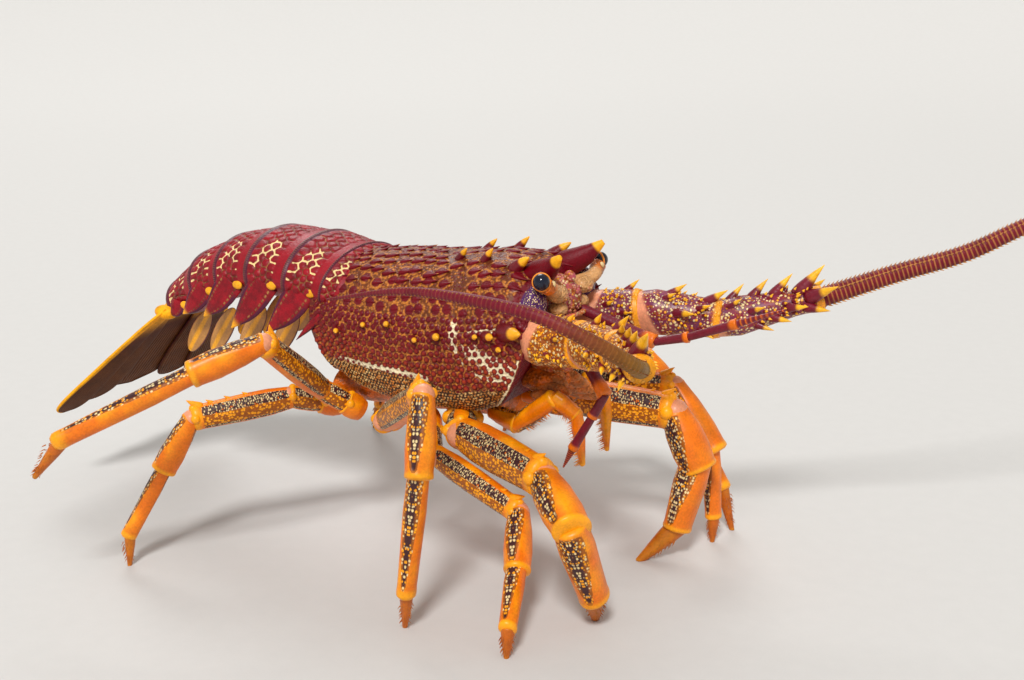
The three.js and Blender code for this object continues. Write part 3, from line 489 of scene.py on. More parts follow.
def shell_point(x, angle):
    """Point of the carapace at x and an angle from the top, both arrays."""
    x, angle = np.broadcast_arrays(np.asarray(x, float), np.asarray(angle, float))
    across, height = np.sin(angle), np.cos(angle)
    low, high = np.maximum(0, -height), np.maximum(0, height)
    half, top, bottom = along(HALF_WIDTH, x), along(TOP, x), along(BOTTOM, x)
    waist = bottom + (top - bottom) * WAIST_SHARE
    power = np.where(height > 0, UPPER_SIDE_POWER, LOWER_SIDE_POWER)
    y = half * np.sign(across) * np.abs(across) ** power
    z = np.where(height > 0, waist + (top - waist) * high ** ROOF_POWER,
                 waist - (waist - bottom) * low ** FLOOR_POWER + BELLY_RISE * low ** BELLY_POWER)
    return np.stack([x, y, z], -1)


def shell_ends(angle):
    """Rear and front x of the carapace at an angle from the top."""
    across, low = np.sin(angle), np.maximum(0, -np.cos(angle))
    return (REAR - REAR_LOBE * across ** 2 * (1 - low ** 2),
            FRONT + FRONT_CHEEK * across ** 2 - FRONT_UNDERCUT * low)


def shell_frame(x, angle):
    """Foot, outward and forward directions on the carapace."""
    foot = shell_point(x, angle)
    forward = unit(shell_point(x + 0.5, angle) - shell_point(x - 0.5, angle))
    sideways = shell_point(x, angle + 0.02) - shell_point(x, angle - 0.02)
    return foot, unit(np.cross(forward, sideways)), forward


def shell_arcs(count):
    """Angles that are evenly spaced round the middle section."""
    angle = np.linspace(0, math.pi, 2000)
    section = shell_point(MIDDLE_SECTION, angle)
    run = np.concatenate([[0], np.cumsum(np.linalg.norm(np.diff(section, axis=0), axis=1))])
    return np.interp(np.linspace(0, run[-1], count), run, angle), run[-1]


def lattice(step, first, last, jitter=0.16):
    """Staggered [x, angle] places on one side of the carapace, from one arc share to another."""
    angles, length = shell_arcs(1001)
    places = []
    rows = int((last - first) * length / (step * ROW_PITCH))
    for row in range(rows):
        arc = first + row * step * ROW_PITCH / length
        x = REAR - REAR_LOBE + (step / 2 if row % 2 else 0)
        while x < FRONT + FRONT_CHEEK:
            share = arc + jitter * step * RANDOM.uniform(-1, 1) / length
            angle = np.interp(share, np.linspace(0, 1, 1001), angles)
            rear, front = shell_ends(angle)
            if rear + END_MARGIN < x < front - END_MARGIN:
                places.append([x + jitter * step * RANDOM.uniform(-1, 1), angle])
            x += step
    return places


def domes(points, centres, radius):
    """Height 0..1 of round bumps at the centres, and a mask of the ring round each."""
    distance = nearest(points, centres)[..., 0] / radius
    return np.clip(1 - distance ** 2, 0, 1), bell(distance - 1.12, 0.2)


class Graph:
    """Short hand for building a node tree."""

    def __init__(self, tree):
        self.tree = tree
        tree.nodes.clear()

    def node(self, kind, inputs=None, **settings):
        """A node with settings, and with a value or a link for each named input."""
        made = self.tree.nodes.new(kind)
        for key, value in settings.items():
            setattr(made, key, value)
        for key, value in (inputs or {}).items():
            socket = made.inputs[key]
            if isinstance(value, bpy.types.NodeSocket):
                self.tree.links.new(value, socket)
            elif socket.type == "RGBA":
                socket.default_value = (*value[:3], 1)
            else:
                socket.default_value = value
        return made

    def mask(self, name):
        """A mask of the mesh, painted on its points."""
        return self.node("ShaderNodeAttribute", attribute_name=name).outputs[2]

    def math(self, operation, a, b=0.0, clamp=False):
        """Result of a math node."""
        return self.node("ShaderNodeMath", {0: a, 1: b}, operation=operation, use_clamp=clamp).outputs[0]

    def times(self, a, b):
        """Product of two values."""
        return self.math("MULTIPLY", a, b)

    def less(self, a):
        """What is left of 1, never under 0."""
        return self.math("SUBTRACT", 1.0, a, clamp=True)

    def step(self, value, low, high):
        """0 below low and 1 above high, smooth between."""
        return self.node("ShaderNodeMapRange", {"Value": value, "From Min": low, "From Max": high},
                         interpolation_type="SMOOTHSTEP").outputs[0]

    def mix(self, share, a, b, blend="MIX"):
        """Colour a, turned into b by the share."""
        made = self.node("ShaderNodeMix", {0: share, 6: a, 7: b}, data_type="RGBA", blend_type=blend)
        return made.outputs[2]

    def noise(self, size, detail=3.0):
        """Noise of 0..1 whose patches have about this size in millimetres."""
        place = self.node("ShaderNodeTexCoord").outputs["Object"]
        return self.node("ShaderNodeTexNoise", {"Vector": place, "Scale": 1000.0 / size,
                                                "Detail": detail}).outputs[0]

    def fuzz(self, size, amount):
        """Noise about zero, for edges that wander."""
        return self.times(self.math("SUBTRACT", self.noise(size), 0.5), amount)

    def use(self, group, **inputs):
        """Outputs of a node group, given by the names of its inputs."""
        return self.node("ShaderNodeGroup", inputs, node_tree=group).outputs


def node_group(name, inputs, outputs):
    """An empty shader node group with sockets, or None in place of its graph if it exists."""
    if name in bpy.data.node_groups:
        return bpy.data.node_groups[name], None, None
    tree = bpy.data.node_groups.new(name, "ShaderNodeTree")
    for label, kind in inputs:
        tree.interface.new_socket(name=label, in_out="INPUT", socket_type=f"NodeSocket{kind}")
    for label, kind in outputs:
        tree.interface.new_socket(name=label, in_out="OUTPUT", socket_type=f"NodeSocket{kind}")
    graph = Graph(tree)
    return tree, graph, graph.node("NodeGroupInput").outputs


def granule_group():
    """Round granules: a mask of their tops and a random value for each."""
    tree, g, inputs = node_group("Granules", [("Size", "Float"), ("Jitter", "Float")],
                                 [("Top", "Float"), ("Random", "Float")])
    if g:
        place = g.node("ShaderNodeTexCoord").outputs["Object"]
        scale = g.math("DIVIDE", 1000.0, inputs["Size"])
        cells = g.node("ShaderNodeTexVoronoi", {"Vector": place, "Scale": scale,
                                                "Randomness": inputs["Jitter"]})
        top = g.step(cells.outputs["Distance"], 0.62, 0.12)
        value = g.node("ShaderNodeSeparateColor", {0: cells.outputs["Color"]}).outputs[0]
        g.node("NodeGroupOutput", {"Top": top, "Random": value})
    return tree


def mottle_group():
    """Soft uneven tone: a colour made darker and lighter at two sizes."""
    tree, g, inputs = node_group("Mottle", [("Colour", "Color"), ("Amount", "Float")], [("Colour", "Color")])
    if g:
        broad = g.math("SUBTRACT", g.noise(9.0), 0.5)
        close = g.math("SUBTRACT", g.noise(1.1), 0.5)
        change = g.times(g.math("ADD", broad, g.times(close, 0.8)), inputs["Amount"])
        bright = g.math("ADD", change, 1.0)
        tint = g.node("ShaderNodeCombineColor", {0: bright, 1: bright, 2: bright}).outputs[0]
        g.node("NodeGroupOutput", {"Colour": g.mix(1.0, inputs["Colour"], tint, "MULTIPLY")})
    return tree


def bead_group():
    """Beads laid out along and around a limb, given those two lengths in bead sizes."""
    tree, g, inputs = node_group("Beads", [("Along", "Float"), ("Around", "Float")],
                                 [("Top", "Float"), ("Random", "Float")])
    if g:
        place = g.node("ShaderNodeCombineXYZ", {0: inputs["Along"], 1: inputs["Around"]}).outputs[0]
        cells = g.node("ShaderNodeTexVoronoi", {"Vector": place, "Scale": 1.0, "Randomness": 0.75})
        top = g.step(cells.outputs["Distance"], 0.58, 0.3)
        value = g.node("ShaderNodeSeparateColor", {0: cells.outputs["Color"]}).outputs[0]
        g.node("NodeGroupOutput", {"Top": top, "Random": value})
    return tree


def make_material(name, recipe, roughness=0.38, coat=0.18, bump=0.25, shine=0.35):
    """A material whose recipe returns colour and height; bump is its relief in millimetres."""
    made = bpy.data.materials.new(name)
    made.use_nodes = True
    g = Graph(made.node_tree)
    colour, height = recipe(g)
    relief = g.node("ShaderNodeBump", {
        "Height": height, "Strength": BUMP_STRENGTH, "Distance": bump * MILLIMETRE})
    surface = g.node("ShaderNodeBsdfPrincipled", {
        "Base Color": colour, "Roughness": roughness, "Coat Weight": coat, "Coat Roughness": COAT_ROUGHNESS,
        "Specular IOR Level": shine, "Normal": relief.outputs[0]})
    g.node("ShaderNodeOutputMaterial", {"Surface": surface.outputs[0]})
    return made


def shell_recipe(look):
    """Carapace: crimson tubercles in golden rings on brown ground, cream along the gills."""
    def recipe(g):
        spot, ring, pale, fine = (g.mask(n) for n in ("spot", "ring", "pale", "fine"))
        grain = g.use(granule_group(), Size=look.granule / MILLIMETRE, Jitter=0.9)
        top, chance = grain["Top"], grain["Random"]
        ground = g.mix(top, look.brown, g.mix(g.step(chance, 0.3, 0.75), look.crimson, look.gold))
        ground = g.mix(g.times(ring, g.step(g.noise(1.6), 0.38, 0.6)), ground, look.gold)
        lower = g.mix(g.step(chance, 0.35, 0.8), look.gold, look.cream)
        lower = g.mix(g.step(g.mask("bead"), 0.3, 0.75), look.dark, lower)
        ground = g.mix(fine, ground, lower)
        # Tubercle tops on the lower flank are painted a lighter orange-red: a painted highlight.
        red = g.mix(g.times(g.step(spot, 0.3, 0.95), g.mask("warm")), look.crimson, look.tubercle_highlight)
        colour = g.mix(g.step(spot, 0.05, 0.25), ground, red)
        chalk = g.step(g.math("ADD", pale, g.fuzz(2.2, 1.3)), 0.35, 0.6)
        colour = g.mix(g.times(chalk, g.less(g.step(spot, 0.1, 0.4))), colour, look.pale)
        speck = g.use(granule_group(), Size=1.3, Jitter=0.7)
        dots = g.mix(g.step(speck["Top"], 0.5, 0.9), look.violet, look.pale)
        colour = g.mix(g.mask("violet"), colour, dots)
        colour = g.mix(g.mask("dark"), colour, look.crimson)
        colour = g.use(mottle_group(), Colour=colour, Amount=0.8)["Colour"]
        height = g.times(top, g.less(g.times(g.step(spot, 0.2, 0.6), 0.8)))
        return colour, height
    return recipe


def spine_recipe(base, middle, point, start=0.5, end=0.78):
    """Spine: base colour, a middle tone and a coloured point."""
    def recipe(g):
        tip = g.mask("tip")
        colour = g.mix(g.step(tip, start, end), g.mix(g.step(tip, 0.0, start), middle, base), point)
        colour = g.mix(g.times(g.mask("plain"), 0.93), colour, base)
        colour = g.use(mottle_group(), Colour=colour, Amount=0.8)["Colour"]
        return colour, g.noise(0.9)
    return recipe


def abdomen_recipe(look):
    """Abdomen: scales outlined in olive gold, a smooth front band and a purple rear border."""
    def recipe(g):
        line, rear, front, pale = (g.mask(n) for n in ("line", "rear", "front", "pale"))
        body = g.mix(g.step(g.noise(5.0), 0.35, 0.65), look.crimson, look.bright)
        body = g.mix(front, body, look.bright)
        edging = g.mix(g.step(g.noise(4.0), 0.45, 0.7), look.ditch, look.olive)
        colour = g.mix(g.times(line, g.less(front)), body, edging)
        colour = g.mix(g.step(g.math("ADD", pale, g.fuzz(2.0, 0.8)), 0.4, 0.6), colour, look.pale)
        comb = g.step(g.math("SINE", g.times(g.mask("turn"), 440.0)), 0.2, 0.8)
        border = g.mix(g.times(g.times(comb, 0.4), g.step(rear, 0.5, 1.0)), look.purple, look.olive)
        colour = g.mix(g.step(rear, 0.1, 0.5), colour, border)
        colour = g.mix(g.mask("point"), colour, look.point)
        colour = g.use(mottle_group(), Colour=colour, Amount=0.9)["Colour"]
        return colour, g.math("SUBTRACT", g.noise(0.8), g.times(line, 0.6))
    return recipe


def fan_recipe(look):
    """Tail fan: dark crimson above and brown below, with a yellow base and outer edge."""
    def recipe(g):
        tip, edge, fibre = g.mask("tip"), g.mask("edge"), g.mask("fibre")
        colour = g.mix(g.mask("under"), look.purple, look.blade)
        colour = g.mix(g.times(fibre, 0.16), colour, look.olive)
        colour = g.mix(g.step(tip, 0.3, 0.0), colour, look.point)
        colour = g.mix(edge, colour, look.point)
        colour = g.use(mottle_group(), Colour=colour, Amount=1.2)["Colour"]
        return colour, g.math("ADD", fibre, g.times(g.noise(0.8), 0.5))
    return recipe


def leg_recipe(look):
    """Leg: cream beads on near-black above, yellow beads on brown below, smooth orange ridges."""
    def recipe(g):
        net, corn, channel = (g.mask(n) for n in ("net", "corn", "channel"))
        run, girth = g.mask("run"), g.mask("girth")
        dash = g.use(bead_group(), Along=g.times(run, 1.2), Around=g.times(girth, 0.72))
        bead = g.use(bead_group(), Along=g.times(run, 0.62), Around=g.times(girth, 0.66))
        plain = g.mix(g.step(g.noise(14.0), 0.35, 0.75), look.orange, look.yellow)
        plain = g.mix(g.times(g.mask("low"), 0.7), plain, look.orange)
        sweet = g.mix(g.step(bead["Top"], 0.02, 0.4), look.corn, look.yellow)
        pick = g.step(dash["Random"], 0.8, 0.9)
        stripe = g.mix(dash["Top"], look.dark, g.mix(pick, look.cream, look.orange))
        # Channel ground runs from brown at the edges to near-black where the channel is deepest. This is
        # partly the leg's own pattern and partly painted shade in the hollow.
        depth = g.step(channel, 0.35, 0.95)
        mixed = g.mix(g.step(bead["Random"], 0.45, 0.55), look.cream, look.yellow)
        mixed = g.mix(bead["Top"], g.mix(depth, look.corn, look.dark), mixed)
        fuzz = g.fuzz(3.5, 0.7)
        colour = g.mix(g.step(g.math("ADD", corn, fuzz), 0.4, 0.6), plain, sweet)
        colour = g.mix(g.step(g.math("ADD", net, fuzz), 0.4, 0.6), colour, stripe)
        inside = g.step(g.math("ADD", channel, g.times(fuzz, 0.3)), 0.06, 0.16)
        colour = g.mix(inside, colour, mixed)
        colour = g.mix(g.mask("end"), colour, look.yellow)
        colour = g.mix(g.mask("soft"), colour, look.membrane)
        colour = g.mix(g.mask("horn"), colour, look.rust)
        colour = g.use(mottle_group(), Colour=colour, Amount=0.7)["Colour"]
        relief = g.math("ADD", g.times(net, dash["Top"]), g.times(g.math("ADD", corn, channel), bead["Top"]))
        return colour, g.math("ADD", relief, g.times(g.noise(0.8), 0.3))
    return recipe


def base_recipe(look, purple):
    """Basal segments of the feelers: gold granules on brown, or stippled purple, with pink membrane."""
    def recipe(g):
        grain = g.use(granule_group(), Size=2.0, Jitter=0.85)
        dust = g.use(granule_group(), Size=1.1, Jitter=1.0)
        top = g.step(grain["Top"], 0.3, 0.8)
        mixed = g.mix(g.step(grain["Random"], 0.3, 0.6), look.yellow, look.cream)
        speck = g.mix(g.step(dust["Random"], 0.4, 0.5), look.cream, look.rust if purple else look.yellow)
        ground = g.mix(g.step(g.noise(5.0), 0.4, 0.65), look.purple, look.wine) if purple else look.rust
        dusty = g.times(g.step(dust["Top"], 0.2, 0.6), g.step(dust["Random"], 0.15, 0.25))
        ground = g.mix(dusty, ground, speck)
        colour = g.mix(top, ground, g.mix(g.step(grain["Random"], 0.15, 0.3), look.rust, mixed))
        colour = g.mix(g.mask("soft"), colour, look.membrane)
        colour = g.mix(g.mask("end"), colour, look.yellow)
        colour = g.use(mottle_group(), Colour=colour, Amount=0.9)["Colour"]
        return colour, g.times(top, g.less(g.mask("soft")))
    return recipe


def whip_recipe(base, ring, start):
    """Ringed feeler: narrow rings of a lighter colour on a dark whip, another tone near its root."""
    def recipe(g):
        root = g.step(g.mask("tip"), 0.4, 0.0)
        colour = g.mix(root, base, start)
        colour = g.mix(g.mask("ring"), colour, ring)
        colour = g.mix(g.mask("bristle"), colour, ring)
        colour = g.use(mottle_group(), Colour=colour, Amount=0.9)["Colour"]
        return colour, g.noise(0.7)
    return recipe


def face_recipe(look, violet=(0.0, 0.0, 0.0)):
    """Face: pink and white granules with gold between, plain orange-brown plates and a violet cheek."""
    def recipe(g):
        grain = g.use(granule_group(), Size=1.5, Jitter=0.9)
        mixed = g.mix(g.step(grain["Random"], 0.4, 0.6), look.cream, look.membrane)
        ground = g.mix(g.step(g.noise(3.0), 0.4, 0.6), look.flush, look.rust)
        colour = g.mix(grain["Top"], ground, g.mix(g.step(grain["Random"], 0.75, 0.85), mixed, look.yellow))
        plate = g.mix(g.step(g.noise(4.0), 0.35, 0.65), look.orange, look.rust)
        colour = g.mix(g.mask("plate"), colour, plate)
        colour = g.mix(g.mask("soft"), colour, look.tan)
        colour = g.mix(g.mask("white"), colour, look.cream)
        fine = g.use(granule_group(), Size=0.95, Jitter=0.8)
        dots = g.mix(g.step(fine["Top"], 0.45, 0.8), violet, look.cream)
        colour = g.mix(g.mask("violet"), colour, dots)
        colour = g.use(mottle_group(), Colour=colour, Amount=1.0)["Colour"]
        return colour, grain["Top"]
    return recipe


def plain_recipe(colour, amount=0.8, size=1.0):
    """One mottled colour."""
    def recipe(g):
        return g.use(mottle_group(), Colour=colour, Amount=amount)["Colour"], g.noise(size)
    return recipe


def add_large_spines(look):
    """The large spines with yellow points, on both sides; returns their feet."""
    spines = Shape("tip", "plain")
    feet = []
    for side in (1, -1):
        for place, degrees, size, width in LARGE_SPINES:
            foot, outward, forward = shell_frame(place, side * math.radians(degrees))
            feet.append(foot)
            add_spine(spines, foot, outward + LARGE_LEAN * forward, size, width, bend=LARGE_BEND * forward,
                      sides=14, taper=LARGE_TAPER)
    recipe = spine_recipe(look.crimson, look.crimson, look.tip, 0.42, 0.6)
    put("large spines", spines, make_material("spine tips", recipe), ())
    return feet


def add_scale_spines(look, feet):
    """The flat spines of the back, clear of the large spines and of the groove; returns their feet."""
    scales = Shape("tip", "plain")
    bases = []
    for place, turn in lattice(look.scale / MILLIMETRE, *SCALE_ARC, SCALE_JITTER):
        for side in (1, -1):
            foot, outward, forward = shell_frame(place, side * turn)
            nearby = min(np.linalg.norm(foot - f) for f in feet) < SCALE_FROM_SPINE
            if nearby or near_line(foot, GROOVE_LINE) < SCALE_FROM_GROOVE:
                continue
            fade = 1 - 0.4 * smooth(turn, 0.6, 1.2)
            bases.append(foot)
            add_spine(scales, foot - outward * SCALE_SINK, outward * SCALE_LIFT + forward,
                      fade * RANDOM.uniform(*SCALE_LENGTH), fade * RANDOM.uniform(*SCALE_WIDTH),
                      bend=SCALE_BEND * outward, flat=SCALE_FLATNESS, plain=RANDOM.random() < PLAIN_SHARE)
    recipe = spine_recipe(look.crimson, look.crimson, look.gold, 0.78, 0.95)
    put("scale spines", scales, make_material("scale spines", recipe, 0.5, 0.0, shine=0.2), ())
    return bases


def shell_centres(step, first, last):
    """Places of a lattice on both sides of the carapace, as points."""
    places = lattice(step, first, last)
    return np.array([shell_point(x, side * turn) for x, turn in places for side in (1, -1)])


def pale_marks(grid, share, from_front, chalk):
    """Mask of the cream line over the gills, the front edge, the net and the sides of the groove."""
    z = grid[..., 2]
    groove, cheek = near_line(grid, GROOVE_LINE), near_line(grid, CHEEK_LINE)
    edge = 0.8 * bell(from_front - 2.6, 0.8) * (share > 0.55)
    net = 0.8 * bell(near_line(grid, NET_PATCH), 5.0)
    halo = 0.34 * bell(groove, 6.0) * smooth(z, 130, 124) * smooth(z, 108, 114)
    bank = 0.7 * bell(groove - 1.0, 0.5) * smooth(z, 132, 120)
    return np.clip(0.95 * chalk + edge + net + halo + bank + 0.7 * bell(cheek - 0.8, 0.6), 0, 1)


def build_carapace(scene):
    """The shield over head and thorax with its tubercles and spines."""
    look = scene.lobster_shell
    shape = Shape("spot", "ring", "pale", "fine", "violet", "dark", "bead", "warm")
    half, _ = shell_arcs(SHELL_COLUMNS // 2)
    angle = np.concatenate([half, -half[-2:0:-1]])
    rear, front = shell_ends(angle)
    x = rear + (front - rear) * np.linspace(0, 1, SHELL_ROWS)[:, None]
    grid = shell_point(x, angle)
    # Share of the arc from the middle of the back to the middle of the belly.
    share = np.interp(np.abs(angle), half, np.linspace(0, 1, len(half)))
    bases = add_scale_spines(look, add_large_spines(look))

    step = look.spacing / MILLIMETRE
    upper, upper_ring = domes(grid, np.array(bases), SCALE_PAD)
    flank, flank_ring = domes(grid, shell_centres(step, *FLANK_ARC), step * FLANK_RADIUS_SHARE)
    beads, _ = domes(grid, shell_centres(BEAD_STEP, *BEAD_ARC), BEAD_RADIUS)
    low = smooth(share, 0.365, 0.385)
    place, z = grid[..., 0], grid[..., 2]
    rim = smooth(z - along(BOTTOM, place), 2.2, 0.6) * (share > 0.6)
    beaded = smooth(z - along(BEADED_BELOW, place), 1.0, -1.0) * smooth(share, 0.5, 0.58)
    fine = np.clip(beaded + rim, 0, 1)
    chalk = bell(near_line(grid, PALE_LINE), 1.5) * smooth(place, 64, 58)
    studs = (upper * (1 - low) * 0.6 + flank * low) * (1 - fine) * (1 - 0.6 * chalk)
    cut = bell(near_line(grid, GROOVE_LINE), 1.1) + 0.5 * bell(near_line(grid, CHEEK_LINE), 0.8)
    ridge = bell(x - rear - RIDGE_PLACE, RIDGE_WIDTH)
    height = TUBERCLE_HEIGHT * studs + BEAD_HEIGHT * beads * fine - GROOVE_DEPTH * cut
    height = height + RIM_HEIGHT * rim + RIDGE_HEIGHT * ridge

    away = np.linalg.norm((grid - np.array(SOCKET)) * [1, 0, 1], axis=-1)
    side_on = np.abs(grid[..., 1]) > SOCKET_INSIDE
    collar = smooth(x - rear, 4.5, 1.5) * 0.6 * (1 - fine)
    socket = smooth(away, *SOCKET_OUTER) * smooth(away, *SOCKET_INNER) * side_on
    dark = np.clip(smooth(front - x, 1.6, 0.6) + collar + socket, 0, 1)
    ring = np.where(low > 0.5, flank_ring, upper_ring)
    pale = pale_marks(grid, share, front - x, chalk)
    violet = smooth(away, *VIOLET_EDGE) * side_on
    # Band of the lower flank where the tubercle tops get their painted highlight.
    warm = smooth(share, 0.44, 0.6)
    shape.grid(grid + grid_normals(grid) * height[..., None], spot=studs, ring=ring, pale=pale, fine=fine,
               violet=violet, dark=dark, bead=beads, warm=warm)
    skin = make_material("shell", shell_recipe(look), 0.45, 0.06, 0.45, 0.3)
    return put("carapace", shape, skin, ["carapace"])


def segment_grid(index, t, angle):
    """Smooth surface of an abdomen segment, at shares of its length and angles from the top."""
    count = len(SPINE_LINE) - 1
    station = (index + t) / count
    path = spline(SPINE_LINE, station)
    rise = np.cross([0, 1, 0], unit(np.gradient(path, axis=0)))
    rise = unit(rise * np.sign(rise[:, 2:3]))
    lip = FLARE * t + FLARE_START
    up = np.cos(angle)
    wide = (keyed(SEGMENT_WIDTH, station) + lip)[:, None]
    tall = np.where(up > 0, (keyed(SEGMENT_ABOVE, station) + lip)[:, None],
                    keyed(SEGMENT_BELOW, station)[:, None])
    return (path[:, None] + (wide * np.sin(angle))[..., None] * np.array([0, 1.0, 0])
            + (tall * up)[..., None] * rise[:, None])


def scale_centres(grid, lines, step):
    """Middles of the scales of a segment, in staggered lines across it."""
    rows, columns = grid.shape[:2]
    centres = []
    for row in range(lines):
        place = int((SCALES_FROM + SCALES_SPAN * (row + 0.5) / lines) * rows)
        turns = int(SCALES_GIRTH * math.pi / step)
        for k in range(-turns // 2, turns // 2 + 1):
            turn = (k + (0.5 if row % 2 else 0)) * step / SCALES_RADIUS
            turn += SCALES_STRAY * RANDOM.uniform(-1, 1)
            if abs(turn) < SCALES_TURN:
                column = int(round(turn / (2 * math.pi) * columns))
                centres.append(grid[place + RANDOM.randint(-1, 1), column])
    return centres


def add_side_point(shape, index, side):
    """The side plate of a segment, with its rolled edge, beads and yellow joint spot."""
    middle = (np.array(SPINE_LINE[index], float) + SPINE_LINE[index + 1]) / 2
    root = np.array([middle[0], side * (SEGMENT_WIDTH[index] - 3), middle[2] - 1])
    tip = mirrored(PLEURON_TIP[index], side)
    t = np.linspace(0, 1, PLEURON_ROWS)
    path = spline([root, (root + tip) / 2 + [2, side * 1.5, 0], tip], t)
    width = PLEURON_WIDTH[index] * keyed(PLEURON_TAPER, t)
    rings, turn = tube(path, width, keyed(PLEURON_THICKNESS, t), PLEURON_SIDES, (0, side, 0))
    across = np.abs(np.sin(turn))[None, :]
    edge = smooth(across, 0.68, 0.8) * np.ones((PLEURON_ROWS, 1))
    bead = smooth(np.abs(across - 0.62), 0.1, 0.03) * smooth(np.sin(t * 75), -0.6, 0.2)[:, None]
    # The first two plates are blunt and purple at the end, and the others have yellow points.
    blunt = index <= 1
    yellow = smooth(t, 0.78, 0.95)[:, None] * (0 if blunt else 1)
    rim = np.maximum(edge, smooth(t, 0.86, 0.97)[:, None] * blunt) * smooth(t, 0.1, 0.3)[:, None]
    shape.grid(rings, line=bead, rear=rim * 0.48, front=0.0, pale=0.0, turn=0.11, point=yellow)
    add_ball(shape, root + [5.5, side * 1.8, -1], [6.5, 2.2, 4.5], 18, point=1.0)


def build_abdomen(scene):
    """Six segments of the abdomen with their side plates."""
    look = scene.lobster_abdomen
    skin = make_material("abdomen", abdomen_recipe(look), 0.42, 0.04, shine=0.3)
    t = np.linspace(0, 1, SEGMENT_ROWS)
    angle = circle_angles(SEGMENT_COLUMNS)
    angle = np.where(angle > math.pi, angle - 2 * math.pi, angle)
    length_share, turned = np.meshgrid(t, np.abs(angle), indexing="ij")
    for index in range(len(SPINE_LINE) - 1):
        shape = Shape("line", "rear", "front", "pale", "turn", "point")
        grid = segment_grid(index, t, angle)
        centres = scale_centres(grid, 4 if index in (1, 2, 3) else 3, look.scale / MILLIMETRE)
        pairs = nearest(grid, centres, 2)
        # Small where two scales meet.
        gap = pairs[..., 1] - pairs[..., 0]
        zone = smooth(length_share, 0.22, 0.28) * smooth(length_share, 0.9, 0.84) * smooth(turned, 1.95, 1.75)
        line = (1 - smooth(gap, 0.15, 0.65)) * zone
        front = smooth(length_share, 0.28, 0.2) * smooth(turned, 1.9, 1.7)
        rear = smooth(length_share, 0.84, 0.96)
        flash = smooth(np.abs(turned - 1.0 - 0.25 * np.sin(length_share * 9)), 0.34, 0.14)
        lightning = (1 - smooth(gap, 0.45, 1.25)) * zone * flash
        border = rear * smooth(length_share, 1.0, 0.97)
        height = SCALE_RISE * smooth(gap, 0.2, 2.2) * zone + BAND_RISE * front + BORDER_RISE * border
        height = height * smooth(turned, 2.1, 1.75)
        shape.grid(grid + grid_normals(grid) * height[..., None], line=line, rear=rear, front=front,
                   pale=lightning, turn=turned / math.pi, point=0)
        for side in (1, -1):
            add_side_point(shape, index, side)
        put(f"abdomen {index + 1}", shape, skin, [f"abdomen_{index + 1}"])


def on_fan(points, side):
    """Points given as [down the slope, outwards, above the blade] set on the sloping fan."""
    down = np.array([-math.cos(FAN_SLOPE), 0, -math.sin(FAN_SLOPE)])
    above = np.array([-math.sin(FAN_SLOPE), 0, math.cos(FAN_SLOPE)])
    out = np.array([0.0, side, 0.0])
    return HINGE + points[..., :1] * down + points[..., 1:2] * out + points[..., 2:] * above


def outline_span(outline, stations):
    """Lowest and highest outward reach of a smooth closed outline at stations down the slope."""
    corners = np.array([[a, b, 0] for a, b in outline], float)
    curve = spline(corners, np.linspace(0, 1, 400))
    turn = int(np.argmax(curve[:, 0]))
    first, second = curve[:turn + 1], curve[turn:][::-1]
    return (np.interp(stations, first[:, 0], first[:, 1]), np.interp(stations, second[:, 0], second[:, 1]))


def fan_stations(first):
    """Distances down the slope from first to the end, closer together near the end."""
    share = (1 - np.sin(np.linspace(0, math.pi / 2, BLADE_ROWS))) ** FAN_HURRY
    return FAN_LENGTH - (FAN_LENGTH - first) * share


def fan_blade(span, stations, level, side, whole):
    """A blade of the fan between two edges; a whole one crosses the middle and has no bright edge."""
    shape = Shape("tip", "edge", "fibre", "under")
    inner, outer = span
    fade = stations[:, None]
    across = np.linspace(0, math.pi, BLADE_COLUMNS)
    share = (1 - np.cos(across)) / 2
    spread = np.sin(across)[None, :] ** 0.35
    reach = inner[:, None] + (outer - inner)[:, None] * share
    ribs = TELSON_RIBS if whole else BLADE_RIBS
    fibre = 0.5 + 0.5 * np.sin((share[None, :] - 0.5) * ribs * math.pi)
    fibre = fibre * smooth(fade, 20, 40)
    keel = bell(share - (0.5 if whole else 0.6), 0.06)[None, :] * smooth(fade, 76, 40)
    thick = 0.8 * spread * smooth(fade, 84, 66) ** 0.5 + 0.15
    top = level + thick + 0.25 * fibre * spread + 1.1 * keel
    bottom = level - thick - 0.2 * fibre * spread
    down = np.broadcast_to(fade, reach.shape)
    upper = np.stack([down, reach, top], -1)
    lower = np.stack([down, reach, bottom], -1)[:, ::-1]
    width = keyed(BLADE_EDGE, (fade - FAN_START) / (FAN_LENGTH - FAN_START))
    edge = smooth(outer[:, None] - reach, width * 1.1, width * 0.7)
    if whole:
        edge = np.zeros_like(edge)
    under = np.concatenate([np.zeros(BLADE_COLUMNS), np.ones(BLADE_COLUMNS)])[None, :]
    shape.grid(on_fan(np.concatenate([upper, lower], 1), side), tip=fade / 82, under=under,
               edge=np.concatenate([edge, edge[:, ::-1]], 1),
               fibre=np.concatenate([fibre, fibre[:, ::-1]], 1))
    if not whole:
        root = np.array([[2.0, (inner[4] + outer[4]) / 2, level]])
        size = [15, 9, 8] if outer.max() > 45 else [10, 8, 6]
        add_ball(shape, on_fan(root, side)[0], size, 30, tip=0.0)
    return shape


